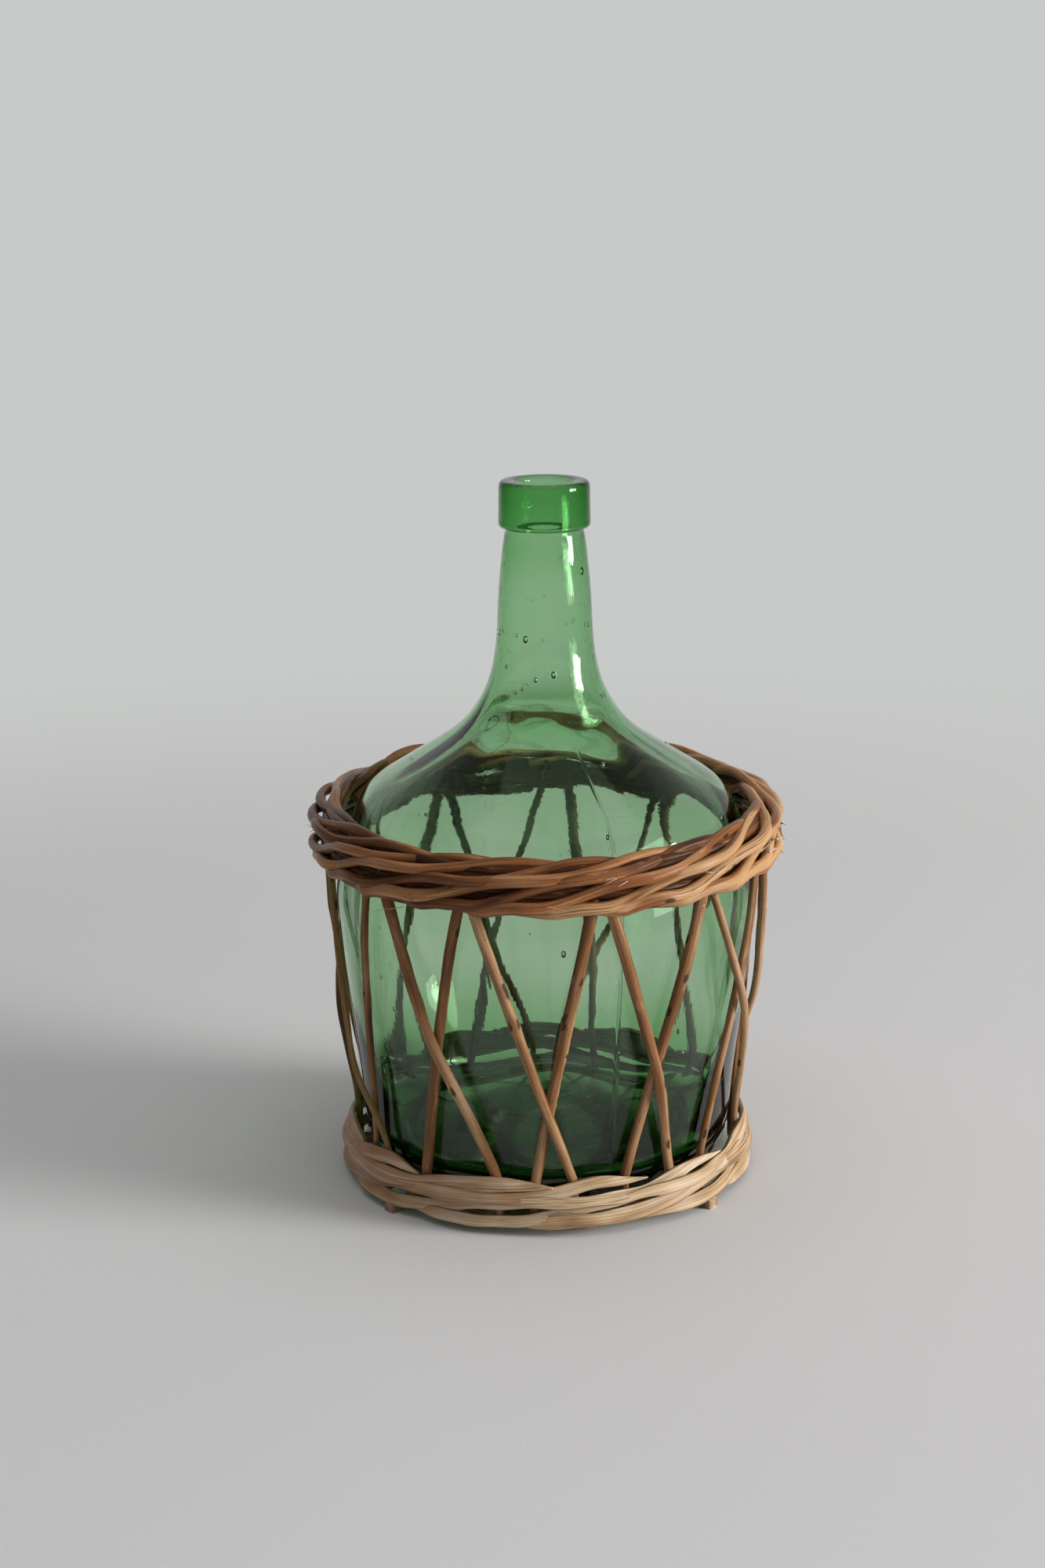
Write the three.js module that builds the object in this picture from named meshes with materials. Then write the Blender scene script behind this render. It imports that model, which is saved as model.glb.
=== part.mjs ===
// Wicker demijohn: a blown glass bottle held in an open basket of willow stakes.
// Millimetres, +Z up. The middle of the foot is the origin and the front faces -Y.
// Angles are degrees round +Z, 0 at the front and growing to the right of the front view.
import * as THREE from 'three';

// Glass bottle
const BOTTLE_TOP = 335.0;
const BODY_RADIUS = 100.6;
const WIDEST_HEIGHT = 139.0;
const HEEL_RADIUS = 88.4;
const HEEL_HEIGHT = 25.8;
const REST_RING_RADIUS = 71.0;
const PUNT_RISE = 13.0;
const NECK_RADIUS = 22.6;
const NECK_HEIGHT = 263.0;
const COLLAR_RADIUS = 18.2;
const LIP_RADIUS = 21.2;
const LIP_HEIGHT = 21.5;
const LIP_ROUND = 2.6;
const LIP_EDGE = 0.8;
const LIP_ABOVE_COLLAR = 1.0;
const BORE_RADIUS = 12.9;
const BORE_ROUND = 1.4;
const BORE_BELOW_LIP = 4.0;
const GLASS_WALL = 3.4;
const GLASS_SEGMENTS = 36;

// Stakes, in pairs at the rim that part and cross on the way down
const STAKE_PAIRS = 11;
const STAKE_RADIUS = 2.7;
const STAKE_TIP_RADIUS = 2.5;
const STAKE_SPREAD_ANGLE = 6.0;
const LEAN_RIGHT_ANGLE = 26.5;
const LEAN_LEFT_ANGLE = -15.0;
const FIRST_PAIR_ANGLE = 13.0;
const CROSS_LOW = 54.0;
const CROSS_HIGH = 100.0;

// Rim band, rods rolled from the outside over the top to the inside, higher at the back
const RIM_ROD_RADIUS = 2.7;
const RIM_TIP_RADIUS = 2.4;
const RIM_ABOVE_WIDEST = 19.7;
const RIM_RISE = 19.6;
const RIM_DEPTH = 11.0;
const RIM_BACK_LIFT = 8.0;
const RIM_HEADROOM = 2.3;
const RIM_TUCK_ANGLE = 10.0;

// Base band, flat strips that climb round the stake feet, by the rise at each pair, and lap like shingles
const SPLIT_WIDTH = 7.8;
const SPLIT_THICKNESS = 1.5;
const SPLIT_SPAN_ANGLE = 137.0;
const SPLIT_RISE = 5.0;
const SPLIT_PAST_STICK_ANGLE = 4.9;

// Base, two crossed groups of sticks with flat weavers
const STICKS_PER_GROUP = 3;
const STICK_WIDTH = 6.4;
const STICK_HEIGHT = 4.0;
const STICK_FAN_ANGLE = 30.0;
const STICK_SHOWING = 4.0;
const UPPER_GROUP_ANGLE = -18.0;
const PAIRS_BETWEEN_GROUPS = 3;
const WEAVER_COUNT = 3;
const WEAVER_WIDTH = 10.0;
const WEAVER_THICKNESS = 1.6;
const WEAVER_PITCH = 12.0;
const OUTER_WEAVER_RADIUS = 74.0;
const WEAVER_END_ANGLE = 1.2;

// Clearances
const FIT_GAP = 0.3;
const GLASS_GAP = 0.45;
const RIM_ROD_GAP = 0.7;
const SPLIT_GAP = 0.4;

// Sizes that follow from the ones above
const PAIR_ANGLE = 360 / STAKE_PAIRS;
const WEAVER_LIFT = STICK_HEIGHT / 2 + FIT_GAP + WEAVER_THICKNESS / 2;
const STICK_LEVEL = WEAVER_LIFT + WEAVER_THICKNESS / 2;
const GLASS_FOOT = STICK_LEVEL + WEAVER_LIFT + WEAVER_THICKNESS / 2 + FIT_GAP;
const LOWER_GROUP_ANGLE = UPPER_GROUP_ANGLE + PAIRS_BETWEEN_GROUPS * PAIR_ANGLE;
const STAKE_FOOT_HEIGHT = STICK_LEVEL + STICK_HEIGHT / 2 + 2 * FIT_GAP;
const RIM_LOW = WIDEST_HEIGHT + RIM_ABOVE_WIDEST;
const RIM_HIGH = RIM_LOW + RIM_RISE;
const RIM_ROD_STEP = 2 * RIM_ROD_RADIUS + RIM_ROD_GAP;
const STAKE_HEAD_HEIGHT = RIM_HIGH - 2 * RIM_ROD_RADIUS - RIM_HEADROOM;
const SPLIT_FIRST_ANGLE = UPPER_GROUP_ANGLE - STICK_FAN_ANGLE + SPLIT_PAST_STICK_ANGLE;
const SPLIT_LEAN_ANGLE = Math.asin((SPLIT_THICKNESS + SPLIT_GAP) / SPLIT_RISE);
const SPLIT_DEPTH = SPLIT_WIDTH * Math.sin(SPLIT_LEAN_ANGLE) + SPLIT_THICKNESS * Math.cos(SPLIT_LEAN_ANGLE);
const SPLIT_HEIGHT = SPLIT_WIDTH * Math.cos(SPLIT_LEAN_ANGLE) + SPLIT_THICKNESS * Math.sin(SPLIT_LEAN_ANGLE);
const BASE_BAND_TOP = 2 * FIT_GAP + SPLIT_HEIGHT + (SPLIT_RISE * SPLIT_SPAN_ANGLE) / PAIR_ANGLE;
const STAKE_FOOT_RADIUS = HEEL_RADIUS + GLASS_GAP + STAKE_RADIUS;
const STAKE_HEAD_RADIUS = BODY_RADIUS + GLASS_GAP + STAKE_RADIUS;
const SPLIT_RADIUS = STAKE_FOOT_RADIUS + STAKE_RADIUS + 2 * FIT_GAP + SPLIT_DEPTH / 2;
const RIM_RADIUS = STAKE_HEAD_RADIUS + STAKE_RADIUS + FIT_GAP + RIM_ROD_RADIUS;
const STICK_REACH = SPLIT_RADIUS - SPLIT_DEPTH / 2 - 2 * FIT_GAP;

// How far single stakes stand off the even spacing, in degrees, at the rim and at the foot
const RIGHT_TOP_SHIFT = [-0.5, -2.9, 0, 1.5, -1.5, 1, -1, 1.5, 4, 4.3, -2.5];
const RIGHT_FOOT_SHIFT = [-6.1, 1.8, 2, -2, 3, -2.5, 2, -3, 0.3, 6.8, -3.8];
const LEFT_TOP_SHIFT = [0.9, -0.3, -6, -1.5, 1, -1, 1.5, -1, 1, 2.8, 0.2];
const LEFT_FOOT_SHIFT = [1.6, -5, -9.1, 3, -2, 2.5, -3, 2, -2, 8.4, 0.2];

const { lerp, clamp, smoothstep, degToRad, radToDeg } = THREE.MathUtils;
const UP = new THREE.Vector3(0, 0, 1);

// Point at an angle from the front, a distance from the axis and a height
function around(angle, radius, height) {
  const turn = degToRad(angle);
  return new THREE.Vector3(radius * Math.sin(turn), -radius * Math.cos(turn), height);
}

// Points between two ends of a profile, from shares of the way in radius and in height
function between(from, to, shares) {
  return shares.map(([radiusShare, heightShare]) => new THREE.Vector2(
    lerp(from.x, to.x, radiusShare),
    lerp(from.y, to.y, heightShare),
  ));
}

const heel = new THREE.Vector2(HEEL_RADIUS, HEEL_HEIGHT);
const widest = new THREE.Vector2(BODY_RADIUS, WIDEST_HEIGHT);
const neck = new THREE.Vector2(NECK_RADIUS, NECK_HEIGHT);
const restRing = new THREE.Vector2(REST_RING_RADIUS, GLASS_FOOT);
const collar = new THREE.Vector2(COLLAR_RADIUS, BOTTLE_TOP - LIP_HEIGHT - LIP_ABOVE_COLLAR);

const HEEL_SHARES = [[0.5, 0.12], [0.82, 0.38]];
const BODY_SHARES = [[0.205, 0.227], [0.47, 0.455], [0.705, 0.682], [0.88, 0.865]];
const SHOULDER_SHARES = [
  [0.022, 0.126], [0.058, 0.21], [0.105, 0.292], [0.149, 0.359], [0.22, 0.417],
  [0.345, 0.468], [0.47, 0.516], [0.595, 0.566], [0.715, 0.616], [0.803, 0.666],
  [0.87, 0.724], [0.928, 0.79], [0.972, 0.874],
];
const NECK_SHARES = [[0.14, 0.3], [0.43, 0.63], [0.77, 0.9]];

const outerWall = [
  restRing,
  ...between(restRing, heel, HEEL_SHARES),
  heel,
  ...between(heel, widest, BODY_SHARES),
  widest,
  ...between(widest, neck, SHOULDER_SHARES),
  neck,
  ...between(neck, collar, NECK_SHARES),
  collar,
];

// Outside radius of the glass at a height between the heel and the collar
function glassRadius(height) {
  const above = outerWall.findIndex((point) => point.y >= height);
  const upper = outerWall[above];
  const lower = outerWall[above - 1];
  return lerp(lower.x, upper.x, (height - lower.y) / (upper.y - lower.y));
}

// The outer wall moved in by the wall thickness, every second point from the neck to the heel
function innerWall() {
  const inner = [];
  for (let index = outerWall.length - 4; index >= 3; index -= 2) {
    const before = outerWall[index - 1];
    const after = outerWall[index + 1];
    const along = after.clone().sub(before).normalize();
    const inward = new THREE.Vector2(-along.y, along.x);
    inner.push(outerWall[index].clone().addScaledVector(inward, GLASS_WALL));
  }
  return inner;
}

function glassGeometry() {
  const lipFoot = BOTTLE_TOP - LIP_HEIGHT;
  const lip = [
    new THREE.Vector2(LIP_RADIUS - LIP_EDGE, lipFoot),
    new THREE.Vector2(LIP_RADIUS, lipFoot + LIP_EDGE),
    new THREE.Vector2(LIP_RADIUS, BOTTLE_TOP - LIP_ROUND),
    new THREE.Vector2(LIP_RADIUS - 0.3 * LIP_ROUND, BOTTLE_TOP - 0.3 * LIP_ROUND),
    new THREE.Vector2(LIP_RADIUS - LIP_ROUND, BOTTLE_TOP),
    new THREE.Vector2(BORE_RADIUS + BORE_ROUND, BOTTLE_TOP),
    new THREE.Vector2(BORE_RADIUS, BOTTLE_TOP - BORE_ROUND),
    new THREE.Vector2(BORE_RADIUS, lipFoot - BORE_BELOW_LIP),
  ];
  const punt = [
    new THREE.Vector2(0, GLASS_FOOT + PUNT_RISE),
    new THREE.Vector2(0.35 * REST_RING_RADIUS, GLASS_FOOT + 0.85 * PUNT_RISE),
    new THREE.Vector2(0.7 * REST_RING_RADIUS, GLASS_FOOT + 0.4 * PUNT_RISE),
    new THREE.Vector2(0.9 * REST_RING_RADIUS, GLASS_FOOT),
  ];
  const innerFloor = [
    new THREE.Vector2(REST_RING_RADIUS + 0.9 * GLASS_WALL, GLASS_FOOT + 2 * GLASS_WALL),
    new THREE.Vector2(0.8 * REST_RING_RADIUS, GLASS_FOOT + 0.3 * PUNT_RISE + 1.6 * GLASS_WALL),
    new THREE.Vector2(0.38 * REST_RING_RADIUS, GLASS_FOOT + 0.85 * PUNT_RISE + 1.6 * GLASS_WALL),
    new THREE.Vector2(0, GLASS_FOOT + PUNT_RISE + 1.6 * GLASS_WALL),
  ];
  const profile = [...punt, ...outerWall, ...lip, ...innerWall(), ...innerFloor];
  const geometry = new THREE.LatheGeometry(profile, GLASS_SEGMENTS);
  geometry.rotateX(Math.PI / 2);
  return geometry;
}

// Corners of a round section, as [away, across] pairs
function roundSection(radius, sides = 6) {
  const corners = [];
  for (let side = 0; side < sides; side += 1) {
    const turn = (2 * Math.PI * side) / sides;
    corners.push([radius * Math.cos(turn), radius * Math.sin(turn)]);
  }
  return corners;
}

// Corners of a flat strip
function flatSection(thickness, width) {
  const half = thickness / 2;
  const reach = width / 2;
  return [[half, -reach], [half, reach], [-half, reach], [-half, -reach]];
}

// Corners of a split stick: flat below, bevelled above
function stickSection(height, width) {
  const half = height / 2;
  const reach = width / 2;
  return [
    [half, -0.6 * reach], [half, 0.6 * reach], [0.2 * half, reach],
    [-half, reach], [-half, -reach], [0.2 * half, -reach],
  ];
}

// Closed bar along a row of points. Each section stands square to the row,
// with its first axis turned toward the direction that away gives for that point.
function bar(points, away, section) {
  const positions = [];
  const indices = [];
  const last = points.length - 1;
  points.forEach((point, index) => {
    const before = points[Math.max(index - 1, 0)];
    const after = points[Math.min(index + 1, last)];
    const along = after.clone().sub(before).normalize();
    const out = away(point).clone();
    out.addScaledVector(along, -out.dot(along)).normalize();
    const across = along.clone().cross(out);
    for (const [outward, sideways] of section(index / last)) {
      const corner = point.clone().addScaledVector(out, outward).addScaledVector(across, sideways);
      positions.push(corner.x, corner.y, corner.z);
    }
  });
  const sides = section(0).length;
  for (let station = 0; station < last; station += 1) {
    for (let side = 0; side < sides; side += 1) {
      const here = station * sides + side;
      const next = station * sides + ((side + 1) % sides);
      indices.push(here, next, next + sides);
      indices.push(here, next + sides, here + sides);
    }
  }
  const end = last * sides;
  for (let side = 1; side + 1 < sides; side += 1) {
    indices.push(0, side + 1, side);
    indices.push(end, end + side, end + side + 1);
  }
  const geometry = new THREE.BufferGeometry();
  geometry.setAttribute('position', new THREE.Float32BufferAttribute(positions, 3));
  geometry.setIndex(indices);
  geometry.computeVertexNormals();
  return geometry;
}

const fromAxis = (point) => new THREE.Vector3(point.x, point.y, 0).normalize();
const upward = () => UP;

// Even steps from one value up to but not including another
function stations(from, to, count) {
  return Array.from({ length: count }, (unused, step) => lerp(from, to, step / count));
}

// How much higher the rim band stands at an angle than at the front
function rimLift(angle) {
  return (RIM_BACK_LIFT * (1 - Math.cos(degToRad(angle)))) / 2;
}

// Stake from the foot to the rim. The outer layer stands clear of the inner one where they cross.
function stakeGeometry(topAngle, footAngle, outerLayer) {
  const points = [];
  const heights = [
    ...stations(STAKE_FOOT_HEIGHT, BASE_BAND_TOP, 2),
    ...stations(BASE_BAND_TOP, WIDEST_HEIGHT, 8),
    WIDEST_HEIGHT,
    ...stations(RIM_LOW, STAKE_HEAD_HEIGHT + rimLift(topAngle), 2),
    STAKE_HEAD_HEIGHT + rimLift(topAngle),
  ];
  for (const height of heights) {
    const drop = clamp((RIM_LOW - height) / (RIM_LOW - BASE_BAND_TOP), 0, 1);
    const angle = lerp(topAngle, footAngle, drop);
    let radius = STAKE_HEAD_RADIUS;
    if (height < HEEL_HEIGHT) {
      radius = STAKE_FOOT_RADIUS;
    } else if (height < WIDEST_HEIGHT) {
      radius = glassRadius(height) + GLASS_GAP + STAKE_RADIUS;
    }
    if (outerLayer) {
      const lift = smoothstep(height, BASE_BAND_TOP, CROSS_LOW) - smoothstep(height, CROSS_HIGH, RIM_LOW);
      radius += lift * (2 * STAKE_RADIUS + 2 * FIT_GAP);
    }
    points.push(around(angle, radius, height));
  }
  const section = (share) => roundSection(lerp(STAKE_RADIUS, STAKE_TIP_RADIUS, share));
  return bar(points, fromAxis, section);
}

// Section of the rim band that every rod climbs: up the outside, over the top, down the inside
const RIM_SHARES = [
  [0, 0], [0, 0.21], [0, 0.6], [0.065, 0.79], [0.3, 0.95], [0.7, 1], [1, 0.93], [0.985, 0.77],
];
const rimSection = new THREE.SplineCurve(RIM_SHARES.map(([depthShare, heightShare]) => {
  const height = lerp(RIM_LOW, RIM_HIGH, heightShare);
  const nearest = glassRadius(height) + GLASS_GAP + RIM_ROD_RADIUS;
  return new THREE.Vector2(Math.max(RIM_RADIUS - depthShare * RIM_DEPTH, nearest), height);
}));

// Rim rod: starts between two stake pairs, comes outside them and is rolled into the band
function rimRodGeometry(startAngle) {
  const points = [];
  const tuckSteps = 3;
  for (let step = 0; step < tuckSteps; step += 1) {
    const share = step / tuckSteps;
    const angle = startAngle - RIM_TUCK_ANGLE * (1 - share);
    const radius = lerp(STAKE_HEAD_RADIUS, RIM_RADIUS, smoothstep(share, 0.15, 1));
    points.push(around(angle, radius, RIM_LOW + rimLift(angle) - FIT_GAP));
  }
  const length = rimSection.getLength();
  const span = (length / RIM_ROD_STEP) * PAIR_ANGLE;
  const steps = Math.round(span / 8);
  for (let step = 0; step <= steps; step += 1) {
    const share = step / steps;
    const spot = rimSection.getPointAt(share);
    const angle = startAngle + share * span;
    points.push(around(angle, spot.x, spot.y + rimLift(angle)));
  }
  const section = (share) => roundSection(lerp(RIM_ROD_RADIUS, RIM_TIP_RADIUS, share));
  return bar(points, fromAxis, section);
}

// Flat strip that climbs round the stake feet, leaning so that its lower edge laps over the next one
function splitGeometry(startAngle) {
  const points = [];
  const low = FIT_GAP + SPLIT_HEIGHT / 2;
  const steps = 20;
  for (let step = 0; step <= steps; step += 1) {
    const turned = (SPLIT_SPAN_ANGLE * step) / steps;
    const height = low + (SPLIT_RISE * turned) / PAIR_ANGLE;
    points.push(around(startAngle + turned, SPLIT_RADIUS, height));
  }
  const leaning = (point) => fromAxis(point).addScaledVector(UP, Math.tan(SPLIT_LEAN_ANGLE));
  return bar(points, leaning, () => flatSection(SPLIT_THICKNESS, SPLIT_WIDTH));
}

// Base stick: level with its neighbours in the middle, fanned out beyond the crossing.
// One that shows in front dips beyond the weavers and comes out under the base band.
function stickGeometry(groupAngle, place, crossingLevel, showing) {
  const fan = STICK_FAN_ANGLE * place;
  const pitch = STICK_WIDTH + 2 * FIT_GAP;
  const crossing = (STICKS_PER_GROUP * pitch) / 2;
  const distances = [0.9, 1.25, 1.9, 2.5, 3.1].map((share) => share * crossing);
  const dipStart = OUTER_WEAVER_RADIUS + WEAVER_WIDTH / 2 + WEAVER_THICKNESS;
  const points = [];
  const addSpot = (distance, backward) => {
    const level = distance > dipStart && showing && !backward
      ? STICK_HEIGHT / 2
      : lerp(crossingLevel, STICK_LEVEL, smoothstep(distance, distances[2], distances[4]));
    if (distance < crossing) {
      const ahead = around(groupAngle, backward ? -distance : distance, level);
      points.push(ahead.add(around(groupAngle + 90, pitch * place, 0)));
    } else {
      points.push(around(groupAngle + (backward ? 180 - fan : fan), distance, level));
    }
  };
  [STICK_REACH, ...distances.slice().reverse()].forEach((distance) => addSpot(distance, true));
  const front = showing ? [dipStart, STICK_REACH, SPLIT_RADIUS + STICK_SHOWING] : [STICK_REACH];
  [...distances, ...front].forEach((distance) => addSpot(distance, false));
  return bar(points, upward, () => stickSection(STICK_HEIGHT, STICK_WIDTH));
}

// Flat weaver that runs over one stick and under the next all the way round
function weaverGeometry(radius, spokeAngles, firstSide) {
  const points = [];
  const rest = radToDeg((STICK_WIDTH / 2 + WEAVER_THICKNESS) / (radius - WEAVER_WIDTH / 2));
  const count = spokeAngles.length;
  for (let index = 0; index <= count; index += 1) {
    const spoke = spokeAngles[index % count] + (index === count ? 360 : 0);
    const side = index % 2 === 0 ? firstSide : -firstSide;
    const level = STICK_LEVEL + side * WEAVER_LIFT;
    const from = index === 0 ? spoke + WEAVER_END_ANGLE : spoke - rest;
    const to = index === count ? spoke - WEAVER_END_ANGLE : spoke + rest;
    points.push(around(from, radius, level));
    points.push(around(to, radius, level));
    if (index < count) {
      const following = spokeAngles[(index + 1) % count] + (index + 1 === count ? 360 : 0);
      points.push(around((to + following - rest) / 2, radius, STICK_LEVEL));
    }
  }
  return bar(points, upward, () => flatSection(WEAVER_THICKNESS, WEAVER_WIDTH));
}

const assembly = new THREE.Group();
assembly.name = 'wicker_demijohn';

function addPiece(name, geometry, color, roughness) {
  const material = new THREE.MeshStandardMaterial({ color, roughness, metalness: 0 });
  const mesh = new THREE.Mesh(geometry, material);
  mesh.name = name;
  assembly.add(mesh);
}

const shiftOf = (shifts, pair) => shifts[pair % shifts.length];
const numbered = (name, index) => `${name}_${String(index + 1).padStart(2, '0')}`;

addPiece('glass_bottle', glassGeometry(), 0x7fae82, 0.08);

for (let pair = 0; pair < STAKE_PAIRS; pair += 1) {
  const middle = FIRST_PAIR_ANGLE + pair * PAIR_ANGLE;
  const rightTop = middle + STAKE_SPREAD_ANGLE / 2;
  const leftTop = middle - STAKE_SPREAD_ANGLE / 2;
  addPiece(
    numbered('stake_right', pair),
    stakeGeometry(
      rightTop + shiftOf(RIGHT_TOP_SHIFT, pair),
      rightTop + LEAN_RIGHT_ANGLE + shiftOf(RIGHT_FOOT_SHIFT, pair),
      true,
    ),
    0x9c6a48,
    0.75,
  );
  addPiece(
    numbered('stake_left', pair),
    stakeGeometry(
      leftTop + shiftOf(LEFT_TOP_SHIFT, pair),
      leftTop + LEAN_LEFT_ANGLE + shiftOf(LEFT_FOOT_SHIFT, pair),
      false,
    ),
    0xa8754f,
    0.75,
  );
  addPiece(
    numbered('rim_rod', pair),
    rimRodGeometry(middle + PAIR_ANGLE / 2 + RIM_TUCK_ANGLE / 2),
    0x8a583c,
    0.7,
  );
  addPiece(
    numbered('base_split', pair),
    splitGeometry(SPLIT_FIRST_ANGLE + pair * PAIR_ANGLE),
    0xc2a075,
    0.8,
  );
}

const lowerLevel = STICK_HEIGHT / 2;
const upperLevel = lowerLevel + STICK_HEIGHT + FIT_GAP;
const spokes = [];
for (let index = 0; index < STICKS_PER_GROUP; index += 1) {
  const place = index - (STICKS_PER_GROUP - 1) / 2;
  const showing = index === 0;
  addPiece(
    numbered('base_stick_upper', index),
    stickGeometry(UPPER_GROUP_ANGLE, place, upperLevel, showing),
    0xb89468,
    0.8,
  );
  addPiece(
    numbered('base_stick_lower', index),
    stickGeometry(LOWER_GROUP_ANGLE, place, lowerLevel, showing),
    0xb89468,
    0.8,
  );
  const fan = STICK_FAN_ANGLE * place;
  spokes.push(UPPER_GROUP_ANGLE + fan, UPPER_GROUP_ANGLE + 180 - fan);
  spokes.push(LOWER_GROUP_ANGLE + fan, LOWER_GROUP_ANGLE + 180 - fan);
}
const spokeAngles = spokes.map((angle) => (angle + 720) % 360).sort((a, b) => a - b);

for (let index = 0; index < WEAVER_COUNT; index += 1) {
  const radius = OUTER_WEAVER_RADIUS - index * WEAVER_PITCH;
  const firstSide = index % 2 === 0 ? 1 : -1;
  addPiece(
    numbered('base_weaver', index),
    weaverGeometry(radius, spokeAngles, firstSide),
    0xcaa97e,
    0.8,
  );
}

export default assembly;
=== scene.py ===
"""Looks of the wicker demijohn: green glass and willow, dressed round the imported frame.

Metres, +Z up. The middle of the foot is the origin and the photographed front faces -Y.
Angles are degrees round +Z, 0 at the front and growing to the right of the front view.
"""

from __future__ import annotations

import logging
import math
from dataclasses import dataclass, field
from enum import Enum
from typing import Sequence, Union

import bpy
import numpy as np
from mathutils import Euler, Matrix, Vector

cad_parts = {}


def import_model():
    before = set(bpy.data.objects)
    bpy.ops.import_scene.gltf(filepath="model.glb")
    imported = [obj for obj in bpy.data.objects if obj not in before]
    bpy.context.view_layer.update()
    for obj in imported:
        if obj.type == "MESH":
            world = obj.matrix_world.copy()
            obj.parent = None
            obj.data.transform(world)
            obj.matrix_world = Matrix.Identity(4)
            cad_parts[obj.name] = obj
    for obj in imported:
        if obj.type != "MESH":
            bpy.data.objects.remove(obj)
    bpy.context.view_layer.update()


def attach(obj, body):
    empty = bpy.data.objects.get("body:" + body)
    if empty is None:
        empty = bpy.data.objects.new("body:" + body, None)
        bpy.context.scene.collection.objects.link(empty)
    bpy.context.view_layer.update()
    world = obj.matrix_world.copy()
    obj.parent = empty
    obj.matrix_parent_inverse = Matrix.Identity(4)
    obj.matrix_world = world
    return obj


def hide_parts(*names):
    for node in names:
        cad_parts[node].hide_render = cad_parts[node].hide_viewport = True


log = logging.getLogger("demijohn")

Range = tuple[float, float]
Triple = tuple[float, float, float]
Colour = Triple
Input = Union["Socket", float, Sequence[float]]
Chance = np.random.Generator
Material = bpy.types.Material
Piece = bpy.types.Object
Made = list[tuple[Piece, str]]

PICTURE = (1333, 2000)
MM = 0.001
UP = np.array([0.0, 0.0, 1.0])
LEVEL = np.array([1.0, 1.0, 0.0])


class Body(Enum):
    """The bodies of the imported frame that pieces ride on."""

    BASKET = "basket"
    BOTTLE = "bottle"


class Slot(Enum):
    """The record's material slots."""

    GLASS = "green_glass"
    RIM = "rim_willow"
    STAKE = "stake_willow"
    SPLIT = "split_willow"
    BASE = "base_willow"


class Layer(Enum):
    """The layers of stakes, named for the way that they lean going down."""

    OUTER = "right"
    INNER = "left"


class Group(Enum):
    """The two groups of base sticks that cross."""

    UPPER = "upper"
    LOWER = "lower"


# Shader maths


class Socket:
    """A node's output, so that shader maths reads as Python."""

    def __init__(self, graph: Graph, source: bpy.types.NodeSocket) -> None:
        """Keep the graph that holds the node and the output itself."""
        self.graph = graph
        self.source = source

    def _math(self, operation: str, first: Input, second: Input) -> Socket:
        """Add a Math node with two values."""
        return self.graph.add("ShaderNodeMath", {"operation": operation}, {0: first, 1: second})

    def __add__(self, other: Input) -> Socket:
        """Sum with a value."""
        return self._math("ADD", self, other)

    def __radd__(self, other: Input) -> Socket:
        """Sum with a value on the left."""
        return self._math("ADD", other, self)

    def __sub__(self, other: Input) -> Socket:
        """Difference from a value."""
        return self._math("SUBTRACT", self, other)

    def __rsub__(self, other: Input) -> Socket:
        """Difference of a value on the left."""
        return self._math("SUBTRACT", other, self)

    def __mul__(self, other: Input) -> Socket:
        """Product with a value."""
        return self._math("MULTIPLY", self, other)

    def __rmul__(self, other: Input) -> Socket:
        """Product with a value on the left."""
        return self._math("MULTIPLY", other, self)

    def largest(self, other: Input) -> Socket:
        """The larger of this and a value."""
        return self._math("MAXIMUM", self, other)

    def within(self, low: float, high: float) -> Socket:
        """Map low..high to a smooth 0..1.

        Args:
            low: the value that gives 0.
            high: the value that gives 1.

        Returns:
            The mapped value.
        """
        settings = {"interpolation_type": "SMOOTHSTEP"}
        values = {"Value": self, "From Min": low, "From Max": high}
        return self.graph.add("ShaderNodeMapRange", settings, values)

    def stretched(self, scale: Sequence[float]) -> Socket:
        """Multiply a vector by a scale along each axis."""
        return self.graph.add("ShaderNodeVectorMath", {"operation": "MULTIPLY"}, {0: self, 1: scale})

    def part(self, axis: str) -> Socket:
        """The X, Y or Z of a vector."""
        return self.graph.add("ShaderNodeSeparateXYZ", {}, {0: self}, axis)


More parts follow.
